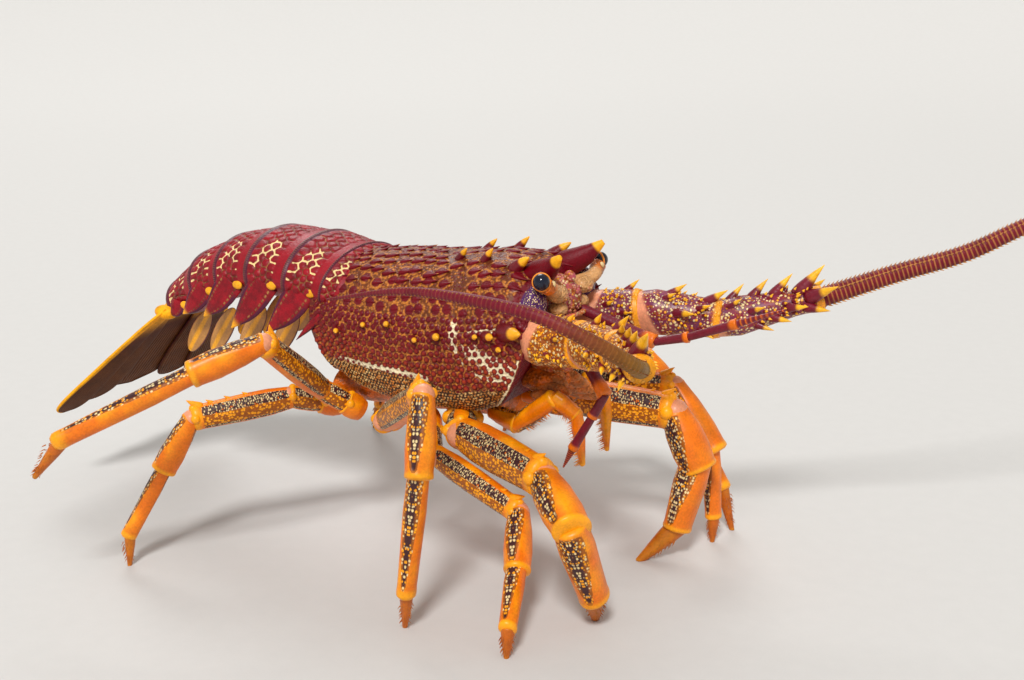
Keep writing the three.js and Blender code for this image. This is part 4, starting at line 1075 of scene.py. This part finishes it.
def build_fan(scene):
    """Telson and two pairs of uropods."""
    look = scene.lobster_abdomen
    skin = make_material("tail fan", fan_recipe(look), 0.55, 0.0, 0.2, 0.12)
    stations = fan_stations(FAN_START)
    half = outline_span(TELSON_OUTLINE, stations)[0]
    half = np.maximum(half * smooth(stations, 81.5, 76) ** 0.4, 2.0)
    put("telson", fan_blade((-half, half), stations, BLADE_SPACING, 1, True), skin, ["telson"])
    for label, side in SIDES.items():
        for kind, outline, level in (("inner", INNER_OUTLINE, 0.0), ("outer", OUTER_OUTLINE, -BLADE_SPACING)):
            stations = fan_stations(min(down for down, _ in outline))
            shape = fan_blade(outline_span(outline, stations), stations, level, side, False)
            put(f"uropod {kind} {label}", shape, skin, [f"uropod_{kind}_{label}"])


def limb_part(shape, start, end, width, profile, flat=LIMB_FLATNESS, kind="plain", depth=0.0, knobs=True,
              up=(0.02, 0.03, 1), **masks):
    """A limb segment with a collar; a shin has channels of the given depth, and a merus has a net."""
    start, end = np.array(start, float), np.array(end, float)
    rows, sides = LIMB_ROWS, LIMB_SIDES
    t = np.linspace(0, 1, rows)
    path = start + np.outer(t, end - start)
    swell = keyed(profile, t) * width * (1 + 0.05 * bell(t - 0.95, 0.03))
    swell = swell * (1 - 0.25 * smooth(t, 0.985, 1.0)) * (1 - 0.2 * smooth(t, 0.03, 0.0))
    rings, angle = tube(path, swell * flat, swell, sides, up)
    centre = path[:, None]
    lift, t2 = np.cos(angle)[None, :] * np.ones((rows, 1)), t[:, None] * np.ones((1, sides))
    inside = smooth(t2, 0.03, 0.1) * smooth(t2, 0.93, 0.87)
    # Half angle of the two channels, which narrow towards the foot.
    reach = 1.05 - 0.95 * t2 ** 1.5
    hollow = np.clip(1.5 * (1 - np.abs(np.arcsin(np.sin(angle)))[None, :] / reach), 0, 1) * inside
    rings = centre + (rings - centre) * (1 - depth * hollow[..., None])
    rings[..., 2] = np.maximum(rings[..., 2], 0.0)
    net = corn = channel = np.zeros((rows, sides))
    if kind == "merus":
        net = inside * smooth(lift, 0.94, 0.84) * smooth(lift, 0.2, 0.35)
        net = np.maximum(net, inside * smooth(lift, -0.55, -0.7) * smooth(lift, -0.9, -0.8) * 0.8)
        corn = inside * smooth(lift, 0.35, 0.2) * smooth(lift, -0.75, -0.6)
    elif kind == "shin":
        channel, lift = hollow, lift - 0.5
    collar = np.maximum(smooth(t2, 0.9, 0.95), smooth(t2, 0.06, 0.02) * 0.6)
    turn = np.minimum(angle, 2 * math.pi - angle)[None, :]
    shape.grid(rings, net=net, corn=corn, channel=channel, end=collar, low=smooth(lift, 0.3, -0.6),
               run=t2 * np.linalg.norm(end - start), girth=turn * width / 2 + t2 * 0, **masks)
    if knobs:
        heading = unit(end - start)
        across, rise = unit(rings[-4, sides // 4] - path[-4]), unit(rings[-4, 0] - path[-4])
        for aside, high, size in KNOBS:
            place = end - heading * width * 0.12 + (across * aside * flat + rise * high) * swell[-6] * 0.4
            add_ball(shape, place, [width * size] * 3, 16, end=1.0)


def upper_leg(joints, widths):
    """Hip, merus and knee of a leg, with the spines along its top."""
    hip, knee1, knee2 = joints[:3]
    merus = widths[0]
    shape = Shape(*LEG_MASKS)
    hip_end = hip + HIP_SHARE * (knee1 - hip)
    limb_part(shape, hip, hip_end, merus * 1.03, UPPER_PROFILE)
    limb_part(shape, hip_end + HIP_OVERLAP * (hip - hip_end), knee1, merus * 0.9, UPPER_PROFILE, kind="merus")
    limb_part(shape, knee1 + KNEE_OVERLAP * (hip - knee1), knee2, merus, MERUS_PROFILE, kind="merus")
    for place in (hip_end, knee1, knee2):
        add_ball(shape, place, [merus * 0.66] * 3, 22, soft=1.0)
    heading = unit(knee2 - knee1)
    rise = unit(np.array([0, 0, 1]) - heading * heading[2])
    for share, size in MERUS_SPINES:
        foot = knee1 + share * (knee2 - knee1) + rise * merus * 0.44
        add_spine(shape, foot, rise + 1.2 * heading, 6 * size, 4.2 * size, end=0.9)
    return shape


def lower_leg(joints, widths, facing):
    """Carpus, propodus and bristled toe of a leg; facing gives each channel's side."""
    knee2, ankle, wrist, toe = joints[2:]
    carpus, propodus, dactyl = widths[1:]
    shape = Shape(*LEG_MASKS)
    limb_part(shape, knee2 + CARPUS_OVERLAP * (knee2 - ankle), ankle, carpus, CARPUS_PROFILE,
              kind="shin", depth=CHANNEL_DEPTH, knobs=False, up=facing[0])
    limb_part(shape, ankle + ANKLE_OVERLAP * (knee2 - ankle), wrist, propodus, PROPODUS_PROFILE,
              kind="shin", depth=CHANNEL_DEPTH, knobs=False, up=facing[1])
    limb_part(shape, wrist + WRIST_OVERLAP * (ankle - wrist), toe, dactyl, DACTYL_PROFILE,
              knobs=False, horn=0.6)
    add_ball(shape, knee2, [carpus * 0.7] * 3, 22, soft=1.0)
    axis = unit(toe - wrist)
    for _ in range(TOE_BRISTLES):
        share = RANDOM.uniform(0.12, 0.9)
        outward = unit(np.cross(axis, [RANDOM.uniform(-1, 1) for _ in range(3)]))
        foot = wrist + share * (toe - wrist) + outward * dactyl * (0.42 - 0.26 * share)
        if foot[2] > 2.5:
            add_spine(shape, foot, outward + 1.6 * axis, 1.7, 0.4, sides=4, horn=0.7)
    return shape


def sternum():
    """The shield between the hips, wide behind and narrow in front."""
    rows, sides = 60, 48
    t = np.linspace(0, 1, rows)[:, None]
    angle = circle_angles(sides)
    wide = keyed(STERNUM_WIDTH, t) / 2 * (1 + 0.05 * np.cos(t * 5 * 2 * math.pi))
    across = np.sign(np.sin(angle)) * np.abs(np.sin(angle)) ** STERNUM_POWER
    rings = np.stack([np.broadcast_to(keyed(STERNUM_X, t), (rows, sides)), wide * across,
                      keyed(STERNUM_Z, t) + STERNUM_DEPTH * np.cos(angle)[None, :]], -1)
    shape = Shape("plate", "soft")
    shape.grid(rings, plate=1.0)
    return shape


def build_legs(scene):
    """Ten walking legs, each an upper and a lower piece, and the shield between their hips."""
    look = scene.lobster_limbs
    skin = make_material("leg", leg_recipe(look), 0.4, 0.1, 0.3)
    for label, legs in LEGS.items():
        for number, (places, widths) in enumerate(legs, 1):
            joints = np.array(places, float)
            put(f"leg {number} upper {label}", upper_leg(joints, widths), skin,
                [f"leg_{number}_upper_{label}"])
            hip, _, knee2, ankle, wrist, _ = joints
            # The plane of the leg, which the channels of the last two legs face along.
            normal = np.cross([0, 0, 1], unit((knee2 - hip) * [1, 1, 0]))
            facing = [np.array(BEAD_SIDE) * [1, SIDES[label], 1] if number <= 3 else np.cross(axis, normal)
                      for axis in (unit(ankle - knee2), unit(wrist - ankle))]
            put(f"leg {number} lower {label}", lower_leg(joints, widths, facing), skin,
                [f"leg_{number}_lower_{label}"])
    put("sternum", sternum(), make_material("sternum", face_recipe(look), 0.35), ["sternum"])


def feeler_base(points, index):
    """One thick joint of a large feeler, with soft skin at its root and a rim at its end."""
    shape = Shape("soft", "end")
    start = points[index] + (PEDUNCLE_OVERLAP * (points[index] - points[index + 1]) if index else 0)
    t = np.linspace(0, 1, 60)
    path = start + np.outer(t, points[index + 1] - start)
    lip = 1 + 0.05 * bell(t - 0.94, 0.03)

    def swell(sizes):
        near, far = sizes[index:index + 2]
        return keyed([near * 0.8, near, (near + far) / 2, far, far * 0.94], t) * lip

    rings, angle = tube(path, swell(PEDUNCLE_WIDTH), swell(PEDUNCLE_HEIGHT), PEDUNCLE_SIDES)
    reach = SOFT_REACH[index] * (1 + SOFT_TOP[index] * np.cos(angle))[None, :]
    shape.grid(rings, soft=smooth(t[:, None], reach, reach - 0.05), end=smooth(t, 0.9, 0.95)[:, None] * 0.85)
    return shape


def feeler_spines(points, index, side):
    """The spines of one thick joint: large ones where the photo has them, and small ones between."""
    spines = Shape("tip", "plain")
    start, end = points[index:index + 2]
    near, far = PEDUNCLE_WIDTH[index:index + 2]
    heading = unit(end - start)
    across = unit(np.cross([0, 0, 1], heading))
    rise = np.cross(heading, across)

    def rooted(share, degrees, depth):
        turn = math.radians(degrees * side)
        outward = across * math.sin(turn) + rise * math.cos(turn)
        return start + share * (end - start) + outward * (near + (far - near) * share) / 2 * depth, outward

    extra = MIDDLE_SPINES[index] if side > 0 else []
    for share, degrees, size in PEDUNCLE_SPINES[index] + extra:
        foot, outward = rooted(share, degrees, 0.97)
        add_spine(spines, foot, outward + 1.1 * heading, size, size * 0.55, bend=0.12 * heading)
    for _ in range(SMALL_SPINES):
        foot, outward = rooted(RANDOM.uniform(0.3, 0.9), RANDOM.uniform(-130, 150), 0.95)
        add_spine(spines, foot, outward + 0.8 * heading, RANDOM.uniform(1.8, 3.4), 2.1, sides=8)
    return spines


def whip_parts(label, pitch):
    """The two pieces of a whip, ringed every pitch, with a few bristles on each ring."""
    contrast, relief, share = WHIP_STYLE[label]
    route = even_spline(WHIP[label], WHIP_RINGS)
    run = np.linalg.norm(np.diff(route, axis=0), axis=1).sum()
    t = np.linspace(0, 1, WHIP_RINGS)
    phase = t * run / pitch
    ring = np.clip(np.cos(phase * 2 * math.pi) * 1.6 - 0.6, 0, 1)
    width = keyed(WHIP_WIDTH, t) * share
    rings, _ = tube(route, width * (0.94 + relief * ring), width * (0.94 + relief * ring), WHIP_SIDES)
    tangent = unit(np.gradient(route, axis=0))
    shapes = []
    for first, last in ((0, WHIP_SPLIT), (WHIP_SPLIT, WHIP_RINGS)):
        shape = Shape("tip", "ring", "bristle")
        pick = slice(first, last)
        shape.grid(rings[pick], tip=t[pick, None], ring=contrast * ring[pick, None])
        for k in range(int(phase[first]) + 1, int(phase[last - 1])):
            i = int(k / phase[-1] * (WHIP_RINGS - 1))
            size = (0.13 * width[i] + 0.45) * (0.4 + contrast)
            for j in BRISTLE_COLUMNS:
                outward = unit(rings[i, j] - route[i])
                add_spine(shape, rings[i, j], outward * 0.7 + tangent[i], size,
                          0.07 * width[i] + 0.15, sides=5, bristle=contrast + 0.2)
        shapes.append(shape)
    return shapes


def small_feeler(joints):
    """A small feeler of three joints with knobs and a ringed end."""
    shape = Shape("tip", "ring", "bristle")
    t = np.linspace(0, 1, 40)
    for index, (start, end) in enumerate(zip(joints[:-1], joints[1:])):
        last = index == 3
        width = ANTENNULE_WIDTH[index] * keyed([0.9, 0.2] if last else [0.85, 1.0], t)
        knob = np.clip(np.cos(t * 60) * 2 - 1, 0, 1) if last else smooth(t, 0.82, 0.92)
        width = width * (1 + 0.16 * knob)
        rings, _ = tube(start + np.outer(t, end - start), width, width, WHIP_SIDES)
        shape.grid(rings, tip=1.0, ring=knob[:, None])
    return shape


def build_feelers(scene):
    """The large feelers with spiny bases and ringed whips, and the small ones between them."""
    look, feel = scene.lobster_limbs, scene.lobster_feelers
    recipe = spine_recipe(feel.crimson, feel.crimson, feel.point, 0.28, 0.5)
    spine_skin = make_material("feeler spines", recipe)
    for label, side in SIDES.items():
        points = np.array(PEDUNCLE[label], float)
        skin = make_material(f"feeler base {label}", base_recipe(look, label == "left"), 0.42, 0.08, 0.5)
        for index in range(3):
            put(f"feeler base {index + 1} {label}", feeler_base(points, index), skin,
                [f"antenna_{index + 1}_{label}"])
            put(f"feeler spines {index + 1} {label}", feeler_spines(points, index, side), spine_skin,
                ())
        root = look.olive if label == "right" else feel.whip
        recipe = whip_recipe(feel.whip, feel.ring_colour, root)
        skin = make_material(f"whip {label}", recipe, 0.45, 0.0, shine=0.2)
        for part, shape in enumerate(whip_parts(label, feel.ring / MILLIMETRE), 1):
            put(f"whip {part} {label}", shape, skin, [f"flagellum_{part}_{label}"])
        skin = make_material(f"small feeler {label}", whip_recipe(feel.whip, look.orange, feel.whip))
        put(f"small feeler {label}", small_feeler(np.array(ANTENNULE[label], float)), skin,
            [f"antennule_{label}"])


def horn(side):
    """The smooth horn over an eye."""
    t = np.linspace(0, 1, 50)
    rings, _ = tube(spline(mirrored(HORN, side), t), keyed(HORN_WIDTH, t), keyed(HORN_HEIGHT, t), 32)
    shape = Shape("tip", "plain")
    shape.grid(rings, tip=t[:, None])
    return shape


def eye_stalk(side):
    """The stalk of an eye, with a white lid and a yellow spot beside the cornea."""
    shape = Shape("plate", "soft", "white")
    t = np.linspace(0, 1, 50)
    width = keyed(EYE_STALK_WIDTH, t)
    rings, _ = tube(spline(mirrored(EYE_STALK, side), t), width, width, 28)
    shape.grid(rings, plate=1.0, soft=smooth(t, 0.85, 0.6)[:, None])
    for (centre, size), sides, mask in ((EYELID, 18, "white"), (EYE_SPOT, 16, "plate")):
        add_ball(shape, mirrored(centre, side), size, sides, **{mask: 1.0})
    return shape


def eye_ring(side, size):
    """The raised ring round a cornea of the given diameter."""
    centre, axis = mirrored(EYE, side), unit(mirrored(EYE_FACING, side))
    turn, bend = np.linspace(0, 2 * math.pi, 61)[:-1], circle_angles(14)
    across = unit(np.cross(axis, [0, 0, 1]))
    circle = centre - axis * size * EYE_RING_BACK + size * EYE_RING_SHARE * (
        np.outer(np.cos(turn), across) + np.outer(np.sin(turn), np.cross(axis, across)))
    tangent = unit(np.roll(circle, -1, 0) - np.roll(circle, 1, 0))
    out = unit(circle - centre)
    outwards = out[:, None] * np.cos(bend)[None, :, None]
    sideways = np.cross(tangent, out)[:, None] * np.sin(bend)[None, :, None]
    rings = circle[:, None] + EYE_RING_RADIUS * (outwards + sideways)
    shape = Shape()
    shape.grid(np.concatenate([rings, rings[:1]], 0), caps=False)
    return shape


def face():
    """The plate between the eyes, the cheeks, and the lips and plates of the mouth."""
    shape = Shape("plate", "soft", "violet")
    for centre, size, plate in FACE_CORE:
        add_ball(shape, centre, size, 60, plate=plate)
    for _ in range(FACE_GRANULES):
        y, z = RANDOM.uniform(*GRANULES_ACROSS), RANDOM.uniform(*GRANULES_HIGH)
        add_ball(shape, [116.8 - 0.05 * y * y, y, z], [2.0, 1.6, 1.6], 10)
    for i in range(LIP_BEADS):
        aside = i - (LIP_BEADS - 1) / 2
        add_ball(shape, [118 - 0.06 * aside ** 2, aside * 1.7, 127], [3, 2.2, 2.2], 12, plate=0.4)
    for side in (1, -1):
        for (centre, size, masks), sides in zip(FACE_SIDES, (40, 36, 26, 30)):
            add_ball(shape, mirrored(centre, side), size, sides, **masks)
        for k in range(MOUTH_PLATES):
            place = [101 + 3 * k, side * (4 + 2.4 * k), 97 - 3.2 * k]
            add_ball(shape, place, [24, 4.5, 7.5], 30, plate=1.0, soft=0.35)
    return shape


def jaw_leg(joints):
    """A jaw leg of four segments, with a fringe of bristles along each."""
    shape = Shape(*LEG_MASKS)
    for index, (start, end) in enumerate(zip(joints[:-1], joints[1:])):
        near, far = MAXILLIPED_WIDTH[index:index + 2]
        root = start + (0.1 * (start - end) if index else 0)
        limb_part(shape, root, end, near, [0.8, 1, (near + far) / near / 2, far / near], flat=0.8,
                  kind="shin" if index < 2 else "plain", depth=CHANNEL_DEPTH / 2, knobs=False)
        axis = unit(end - start)
        inner = np.cross(axis, [0, 1, 0]) * (-1 if index else 1)
        for _ in range(JAW_BRISTLES):
            share = RANDOM.uniform(0.05, 0.98)
            outward = unit(inner + 0.5 * np.array([0, RANDOM.uniform(-1, 1), 0]))
            foot = start + share * (end - start) + outward * (near + (far - near) * share) * 0.36
            add_spine(shape, foot, outward + 0.5 * axis, RANDOM.uniform(2.5, 4.5), 0.45, sides=4, end=0.4)
    return shape


def build_head(scene):
    """Horns, eyes, the plate between them and the mouth."""
    look, shell, eye = scene.lobster_limbs, scene.lobster_shell, scene.lobster_eyes
    horn_recipe = spine_recipe(shell.crimson, shell.crimson, shell.tip, 0.82, 0.88)
    horn_skin = make_material("horn", horn_recipe, 0.45, 0.0, shine=0.2)
    stalk_skin = make_material("eye stalk", face_recipe(look), 0.35)
    cornea_skin = make_material("cornea", plain_recipe(eye.cornea, 0.6, 0.4), 0.08, 0.25, 0.005, 0.3)
    ring_skin = make_material("eye ring", plain_recipe(eye.ring), 0.3)
    size = eye.diameter / MILLIMETRE
    for label, side in SIDES.items():
        put(f"horn {label}", horn(side), horn_skin, [f"horn_{label}"])
        put(f"eye stalk {label}", eye_stalk(side), stalk_skin, [f"eye_{label}"])
        cornea = Shape()
        add_ball(cornea, mirrored(EYE, side), [size] * 3, 48)
        put(f"cornea {label}", cornea, cornea_skin, ())
        put(f"eye ring {label}", eye_ring(side, size), ring_skin, ())
    face_skin = make_material("face", face_recipe(look, shell.violet), 0.4, 0.1, bump=0.5)
    put("face", face(), face_skin, ["face"])
    jaw_skin = make_material("jaw", leg_recipe(look), 0.32)
    for label, side in SIDES.items():
        jaw = jaw_leg(mirrored(MAXILLIPED, side))
        put(f"jaw leg {label}", jaw, jaw_skin, [f"maxilliped_{label}"])


def swimmeret_recipe(look):
    """Swimmeret: a tan leaf with a yellow midrib and a purple edge."""
    def recipe(g):
        colour = g.mix(g.mask("stripe"), look.leaf, look.point)
        colour = g.mix(g.mask("edge"), colour, look.purple)
        return g.use(mottle_group(), Colour=colour, Amount=0.8)["Colour"], g.noise(0.9)
    return recipe


def build_swimmerets(scene):
    """Leaf-like limbs under the abdomen."""
    skin = make_material("swimmeret", swimmeret_recipe(scene.lobster_abdomen), 0.4, 0.2)
    lift, turn = np.linspace(0.03, math.pi - 0.03, 40), circle_angles(36)
    c, s = math.cos(PLEOPOD_LEAN), math.sin(PLEOPOD_LEAN)
    lean = np.array([[c, 0, -s], [0, 1, 0], [s, 0, c]])
    for index, (root, size) in enumerate(zip(PLEOPOD_ROOT, PLEOPOD_LENGTH), 2):
        for label, side in SIDES.items():
            leaf = np.stack([PLEOPOD_HALF_WIDTH * np.outer(np.sin(lift), np.cos(turn)),
                             PLEOPOD_THICKNESS / 2 * np.outer(np.sin(lift), np.sin(turn)),
                             size / 2 * np.outer(np.cos(lift), np.ones(36)) - size * 0.46], -1)
            width = np.abs(leaf[..., 0]) / PLEOPOD_HALF_WIDTH
            rim = width / np.maximum(np.sin(lift)[:, None], 0.05)
            shape = Shape("stripe", "edge")
            shape.grid(mirrored(root, side) + leaf @ lean, stripe=smooth(width, 0.3, 0.12),
                       edge=smooth(rim, 0.86, 0.97))
            put(f"swimmeret {index} {label}", shape, skin, [f"pleopod_{index}_{label}"])


def build_floor(look):
    """A pale floor, flat under the animal and rising far out, so that no horizon shows."""
    turns = circle_angles(96)
    steps = [k / FLOOR_STEPS for k in range(1, FLOOR_STEPS + 1)]
    profile = [(0.0001, 0.0), (FLOOR_FLAT, 0.0)]
    profile += [(FLOOR_FLAT + FLOOR_SLOPE * t, FLOOR_RISE * t ** 3) for t in steps]
    rings = [[(r * math.cos(a), r * math.sin(a), h) for a in turns] for r, h in profile]
    bowl = Shape()
    bowl.grid(np.array(rings) / MILLIMETRE + ORIGIN, caps=False)
    floor = bowl.make("floor")
    floor.data.materials.append(make_material("floor", plain_recipe(look.floor, 0.05, 20.0), 0.7, 0.0, 0.02))


def add_lamp(scene, name, place, strength, spread):
    """A soft sun lamp that shines from a place towards the origin."""
    light = bpy.data.lights.new(name, "SUN")
    light.energy, light.angle = strength, math.radians(spread)
    lamp = bpy.data.objects.new(name, light)
    lamp.location = place
    lamp.rotation_euler = (-Vector(place)).to_track_quat("-Z", "Y").to_euler()
    scene.collection.objects.link(lamp)


def add_camera(scene):
    """The camera at the photo's viewing angle."""
    lens = bpy.data.cameras.new("camera")
    lens.sensor_width, lens.lens = CAMERA_SENSOR, CAMERA_LENS
    lens.clip_start, lens.clip_end = 0.05, 30.0
    camera = bpy.data.objects.new("camera", lens)
    camera.location = CAMERA_PLACE
    turn = Vector(CAMERA_HEADING).to_track_quat("-Z", "Y").to_matrix().to_4x4()
    camera.rotation_euler = (turn @ Matrix.Rotation(math.radians(CAMERA_ROLL), 4, "Z")).to_euler()
    scene.collection.objects.link(camera)
    scene.camera = camera


def build_stage(scene):
    """Floor, lights and camera."""
    look = scene.lobster_stage
    build_floor(look)
    world = bpy.data.worlds.new("studio")
    world.use_nodes = True
    air = world.node_tree.nodes["Background"]
    air.inputs["Color"].default_value = (*look.air, 1)
    air.inputs["Strength"].default_value = AIR_STRENGTH
    scene.world = world
    scene.view_settings.view_transform = "Standard"
    add_lamp(scene, "key", KEY_PLACE, look.power, KEY_SPREAD)
    add_lamp(scene, "rim", RIM_PLACE, look.power * RIM_SHARE, RIM_SPREAD)
    add_camera(scene)


def colour_setting(name, description, default):
    """A colour property."""
    return FloatVectorProperty(name=name, description=description, default=default, subtype="COLOR", size=3,
                               min=0.0, max=1.0)


def length_setting(name, description, default):
    """A length property, in metres."""
    return FloatProperty(name=name, description=description, default=default, unit="LENGTH", min=0.0001)


class ShellLook(bpy.types.PropertyGroup):
    """Sizes and colours of the carapace."""
    spacing: length_setting("Tubercle spacing", "Distance between the red tubercles of the flank", 0.0036)
    scale: length_setting("Scale spacing", "Distance between the scale-like spines of the back", 0.0078)
    granule: length_setting("Granule size", "Distance between the golden granules", 0.0016)
    crimson: colour_setting("Crimson", "Spines and tubercles", (0.145, 0.0, 0.006))
    # Painted highlight: the lighter colour painted on the tubercle tops of the lower flank.
    tubercle_highlight: colour_setting("Tubercle", "Tops of the tubercles", (0.36, 0.035, 0.006))
    gold: colour_setting("Gold", "Golden granules", (0.60, 0.20, 0.025))
    brown: colour_setting("Brown", "Ground between the granules", (0.13, 0.028, 0.006))
    cream: colour_setting("Cream", "Pale granules low on the flank", (0.80, 0.52, 0.20))
    dark: colour_setting("Dark", "Ground low on the flank", (0.06, 0.022, 0.008))
    pale: colour_setting("Pale", "Cream line and net", (0.86, 0.74, 0.48))
    violet: colour_setting("Violet", "Cheek below the eye", (0.075, 0.012, 0.10))
    tip: colour_setting("Tip", "Points of the large spines", (0.95, 0.42, 0.01))


class AbdomenLook(bpy.types.PropertyGroup):
    """Sizes and colours of the abdomen, tail fan and swimmerets."""
    scale: length_setting("Scale size", "Distance between the scales of the segments", 0.0064)
    crimson: colour_setting("Crimson", "Scales", (0.19, 0.001, 0.007))
    bright: colour_setting("Bright", "Smooth front band and brighter scales", (0.31, 0.001, 0.010))
    olive: colour_setting("Olive gold", "Outlines of the scales", (0.40, 0.22, 0.06))
    ditch: colour_setting("Ditch", "Darker outlines of the scales", (0.12, 0.035, 0.01))
    pale: colour_setting("Pale", "Cream marks on the upper flank", (0.88, 0.66, 0.30))
    purple: colour_setting("Purple", "Rear border of each segment", (0.085, 0.006, 0.028))
    blade: colour_setting("Blade", "Underside of the tail fan", (0.075, 0.014, 0.002))
    leaf: colour_setting("Leaf", "Swimmerets", (0.50, 0.23, 0.06))
    point: colour_setting("Point", "Side points and the edge of the fan", (0.92, 0.40, 0.01))


class LimbLook(bpy.types.PropertyGroup):
    """Colours of legs, mouth and face."""
    orange: colour_setting("Orange", "Smooth parts of the legs", (0.78, 0.16, 0.0))
    yellow: colour_setting("Yellow", "Knobs and collars", (0.95, 0.36, 0.002))
    rust: colour_setting("Rust", "Darker orange-brown", (0.33, 0.075, 0.004))
    corn: colour_setting("Corn ground", "Between the yellow beads of the legs", (0.33, 0.085, 0.002))
    flush: colour_setting("Flush", "Pink-crimson between the eyes", (0.42, 0.07, 0.10))
    dark: colour_setting("Dark", "Ground of the net", (0.045, 0.010, 0.012))
    cream: colour_setting("Cream", "Lines of the net", (0.82, 0.62, 0.30))
    membrane: colour_setting("Membrane", "Soft skin of the joints", (0.76, 0.30, 0.16))
    purple: colour_setting("Purple", "Left feeler base", (0.16, 0.022, 0.07))
    wine: colour_setting("Wine", "Redder parts of the left feeler base", (0.22, 0.008, 0.03))
    olive: colour_setting("Olive", "Root of the right whip", (0.24, 0.12, 0.006))
    tan: colour_setting("Tan", "Lobes of the face", (0.62, 0.32, 0.12))


class FeelerLook(bpy.types.PropertyGroup):
    """Sizes and colours of the feelers."""
    ring: length_setting("Ring spacing", "Distance between the rings of a whip", 0.0021)
    whip: colour_setting("Whip", "Whips and small feelers", (0.16, 0.006, 0.018))
    ring_colour: colour_setting("Ring", "Rings and bristles", (0.62, 0.27, 0.06))
    crimson: colour_setting("Crimson", "Roots of the spines", (0.17, 0.006, 0.02))
    point: colour_setting("Point", "Points of the spines", (0.97, 0.48, 0.012))


class EyeLook(bpy.types.PropertyGroup):
    """Size and colours of the eyes."""
    diameter: length_setting("Diameter", "Across the cornea", 0.0078)
    cornea: colour_setting("Cornea", "Glossy blue-black surface", (0.006, 0.008, 0.022))
    ring: colour_setting("Ring", "Ring round the cornea", (0.85, 0.27, 0.02))


class StageLook(bpy.types.PropertyGroup):
    """Floor and light."""
    floor: colour_setting("Floor", "Plain floor", (0.60, 0.59, 0.57))
    air: colour_setting("Air", "Light from all round", (1.0, 0.97, 0.93))
    power: FloatProperty(name="Key strength", description="Strength of the main light", default=2.5, min=0.0)


def run(build, context):
    """Runs a function that builds a piece, and fails loudly if it made nothing."""
    before = len(bpy.data.objects)
    build(context.scene)
    if len(bpy.data.objects) == before:
        raise RuntimeError(f"{build.__name__} made nothing")
    return {"FINISHED"}


class LOBSTER_OT_carapace(bpy.types.Operator):
    """Build the carapace with its tubercles and spines"""
    bl_idname = "lobster.carapace"
    bl_label = "Carapace"
    bl_options = {"REGISTER", "UNDO"}

    def execute(self, context):
        return run(build_carapace, context)


class LOBSTER_OT_abdomen(bpy.types.Operator):
    """Build the six segments of the abdomen"""
    bl_idname = "lobster.abdomen"
    bl_label = "Abdomen"
    bl_options = {"REGISTER", "UNDO"}

    def execute(self, context):
        return run(build_abdomen, context)


class LOBSTER_OT_fan(bpy.types.Operator):
    """Build the tail fan"""
    bl_idname = "lobster.fan"
    bl_label = "Tail fan"
    bl_options = {"REGISTER", "UNDO"}

    def execute(self, context):
        return run(build_fan, context)


class LOBSTER_OT_swimmerets(bpy.types.Operator):
    """Build the swimmerets"""
    bl_idname = "lobster.swimmerets"
    bl_label = "Swimmerets"
    bl_options = {"REGISTER", "UNDO"}

    def execute(self, context):
        return run(build_swimmerets, context)


class LOBSTER_OT_legs(bpy.types.Operator):
    """Build the ten walking legs and the shield between them"""
    bl_idname = "lobster.legs"
    bl_label = "Legs"
    bl_options = {"REGISTER", "UNDO"}

    def execute(self, context):
        return run(build_legs, context)


class LOBSTER_OT_feelers(bpy.types.Operator):
    """Build the large and small feelers"""
    bl_idname = "lobster.feelers"
    bl_label = "Feelers"
    bl_options = {"REGISTER", "UNDO"}

    def execute(self, context):
        return run(build_feelers, context)


class LOBSTER_OT_head(bpy.types.Operator):
    """Build the horns, eyes, face and mouth"""
    bl_idname = "lobster.head"
    bl_label = "Head"
    bl_options = {"REGISTER", "UNDO"}

    def execute(self, context):
        return run(build_head, context)


class LOBSTER_OT_stage(bpy.types.Operator):
    """Set up the floor, lights and camera"""
    bl_idname = "lobster.stage"
    bl_label = "Stage"
    bl_options = {"REGISTER", "UNDO"}

    def execute(self, context):
        return run(build_stage, context)


OPERATORS = (LOBSTER_OT_carapace, LOBSTER_OT_abdomen, LOBSTER_OT_fan, LOBSTER_OT_swimmerets,
             LOBSTER_OT_legs, LOBSTER_OT_feelers, LOBSTER_OT_head, LOBSTER_OT_stage)
LOOKS = {"lobster_shell": ShellLook, "lobster_abdomen": AbdomenLook, "lobster_limbs": LimbLook,
         "lobster_feelers": FeelerLook, "lobster_eyes": EyeLook, "lobster_stage": StageLook}


class LOBSTER_PT_panel(bpy.types.Panel):
    """Buttons and settings of the lobster"""
    bl_idname = "LOBSTER_PT_panel"
    bl_label = "Spiny lobster"
    bl_space_type = "VIEW_3D"
    bl_region_type = "UI"
    bl_category = "Lobster"

    def draw(self, context):
        for operator in OPERATORS:
            self.layout.operator(operator.bl_idname)
        for label, look in LOOKS.items():
            box = self.layout.box()
            for name in look.__annotations__:
                box.prop(getattr(context.scene, label), name)


CLASSES = (*LOOKS.values(), *OPERATORS, LOBSTER_PT_panel)


def register():
    """Registers the classes and hangs the settings on the scene."""
    for each in CLASSES:
        bpy.utils.register_class(each)
    for label, look in LOOKS.items():
        setattr(bpy.types.Scene, label, PointerProperty(type=look))


def unregister():
    """Takes the settings and classes away again."""
    for label in LOOKS:
        delattr(bpy.types.Scene, label)
    for each in reversed(CLASSES):
        bpy.utils.unregister_class(each)


def main():
    """Builds everything in order."""
    register()
    bpy.ops.lobster.carapace()
    bpy.ops.lobster.abdomen()
    bpy.ops.lobster.fan()
    bpy.ops.lobster.swimmerets()
    bpy.ops.lobster.legs()
    bpy.ops.lobster.feelers()
    bpy.ops.lobster.head()
    bpy.ops.lobster.stage()


if __name__ == "__main__":
    main()
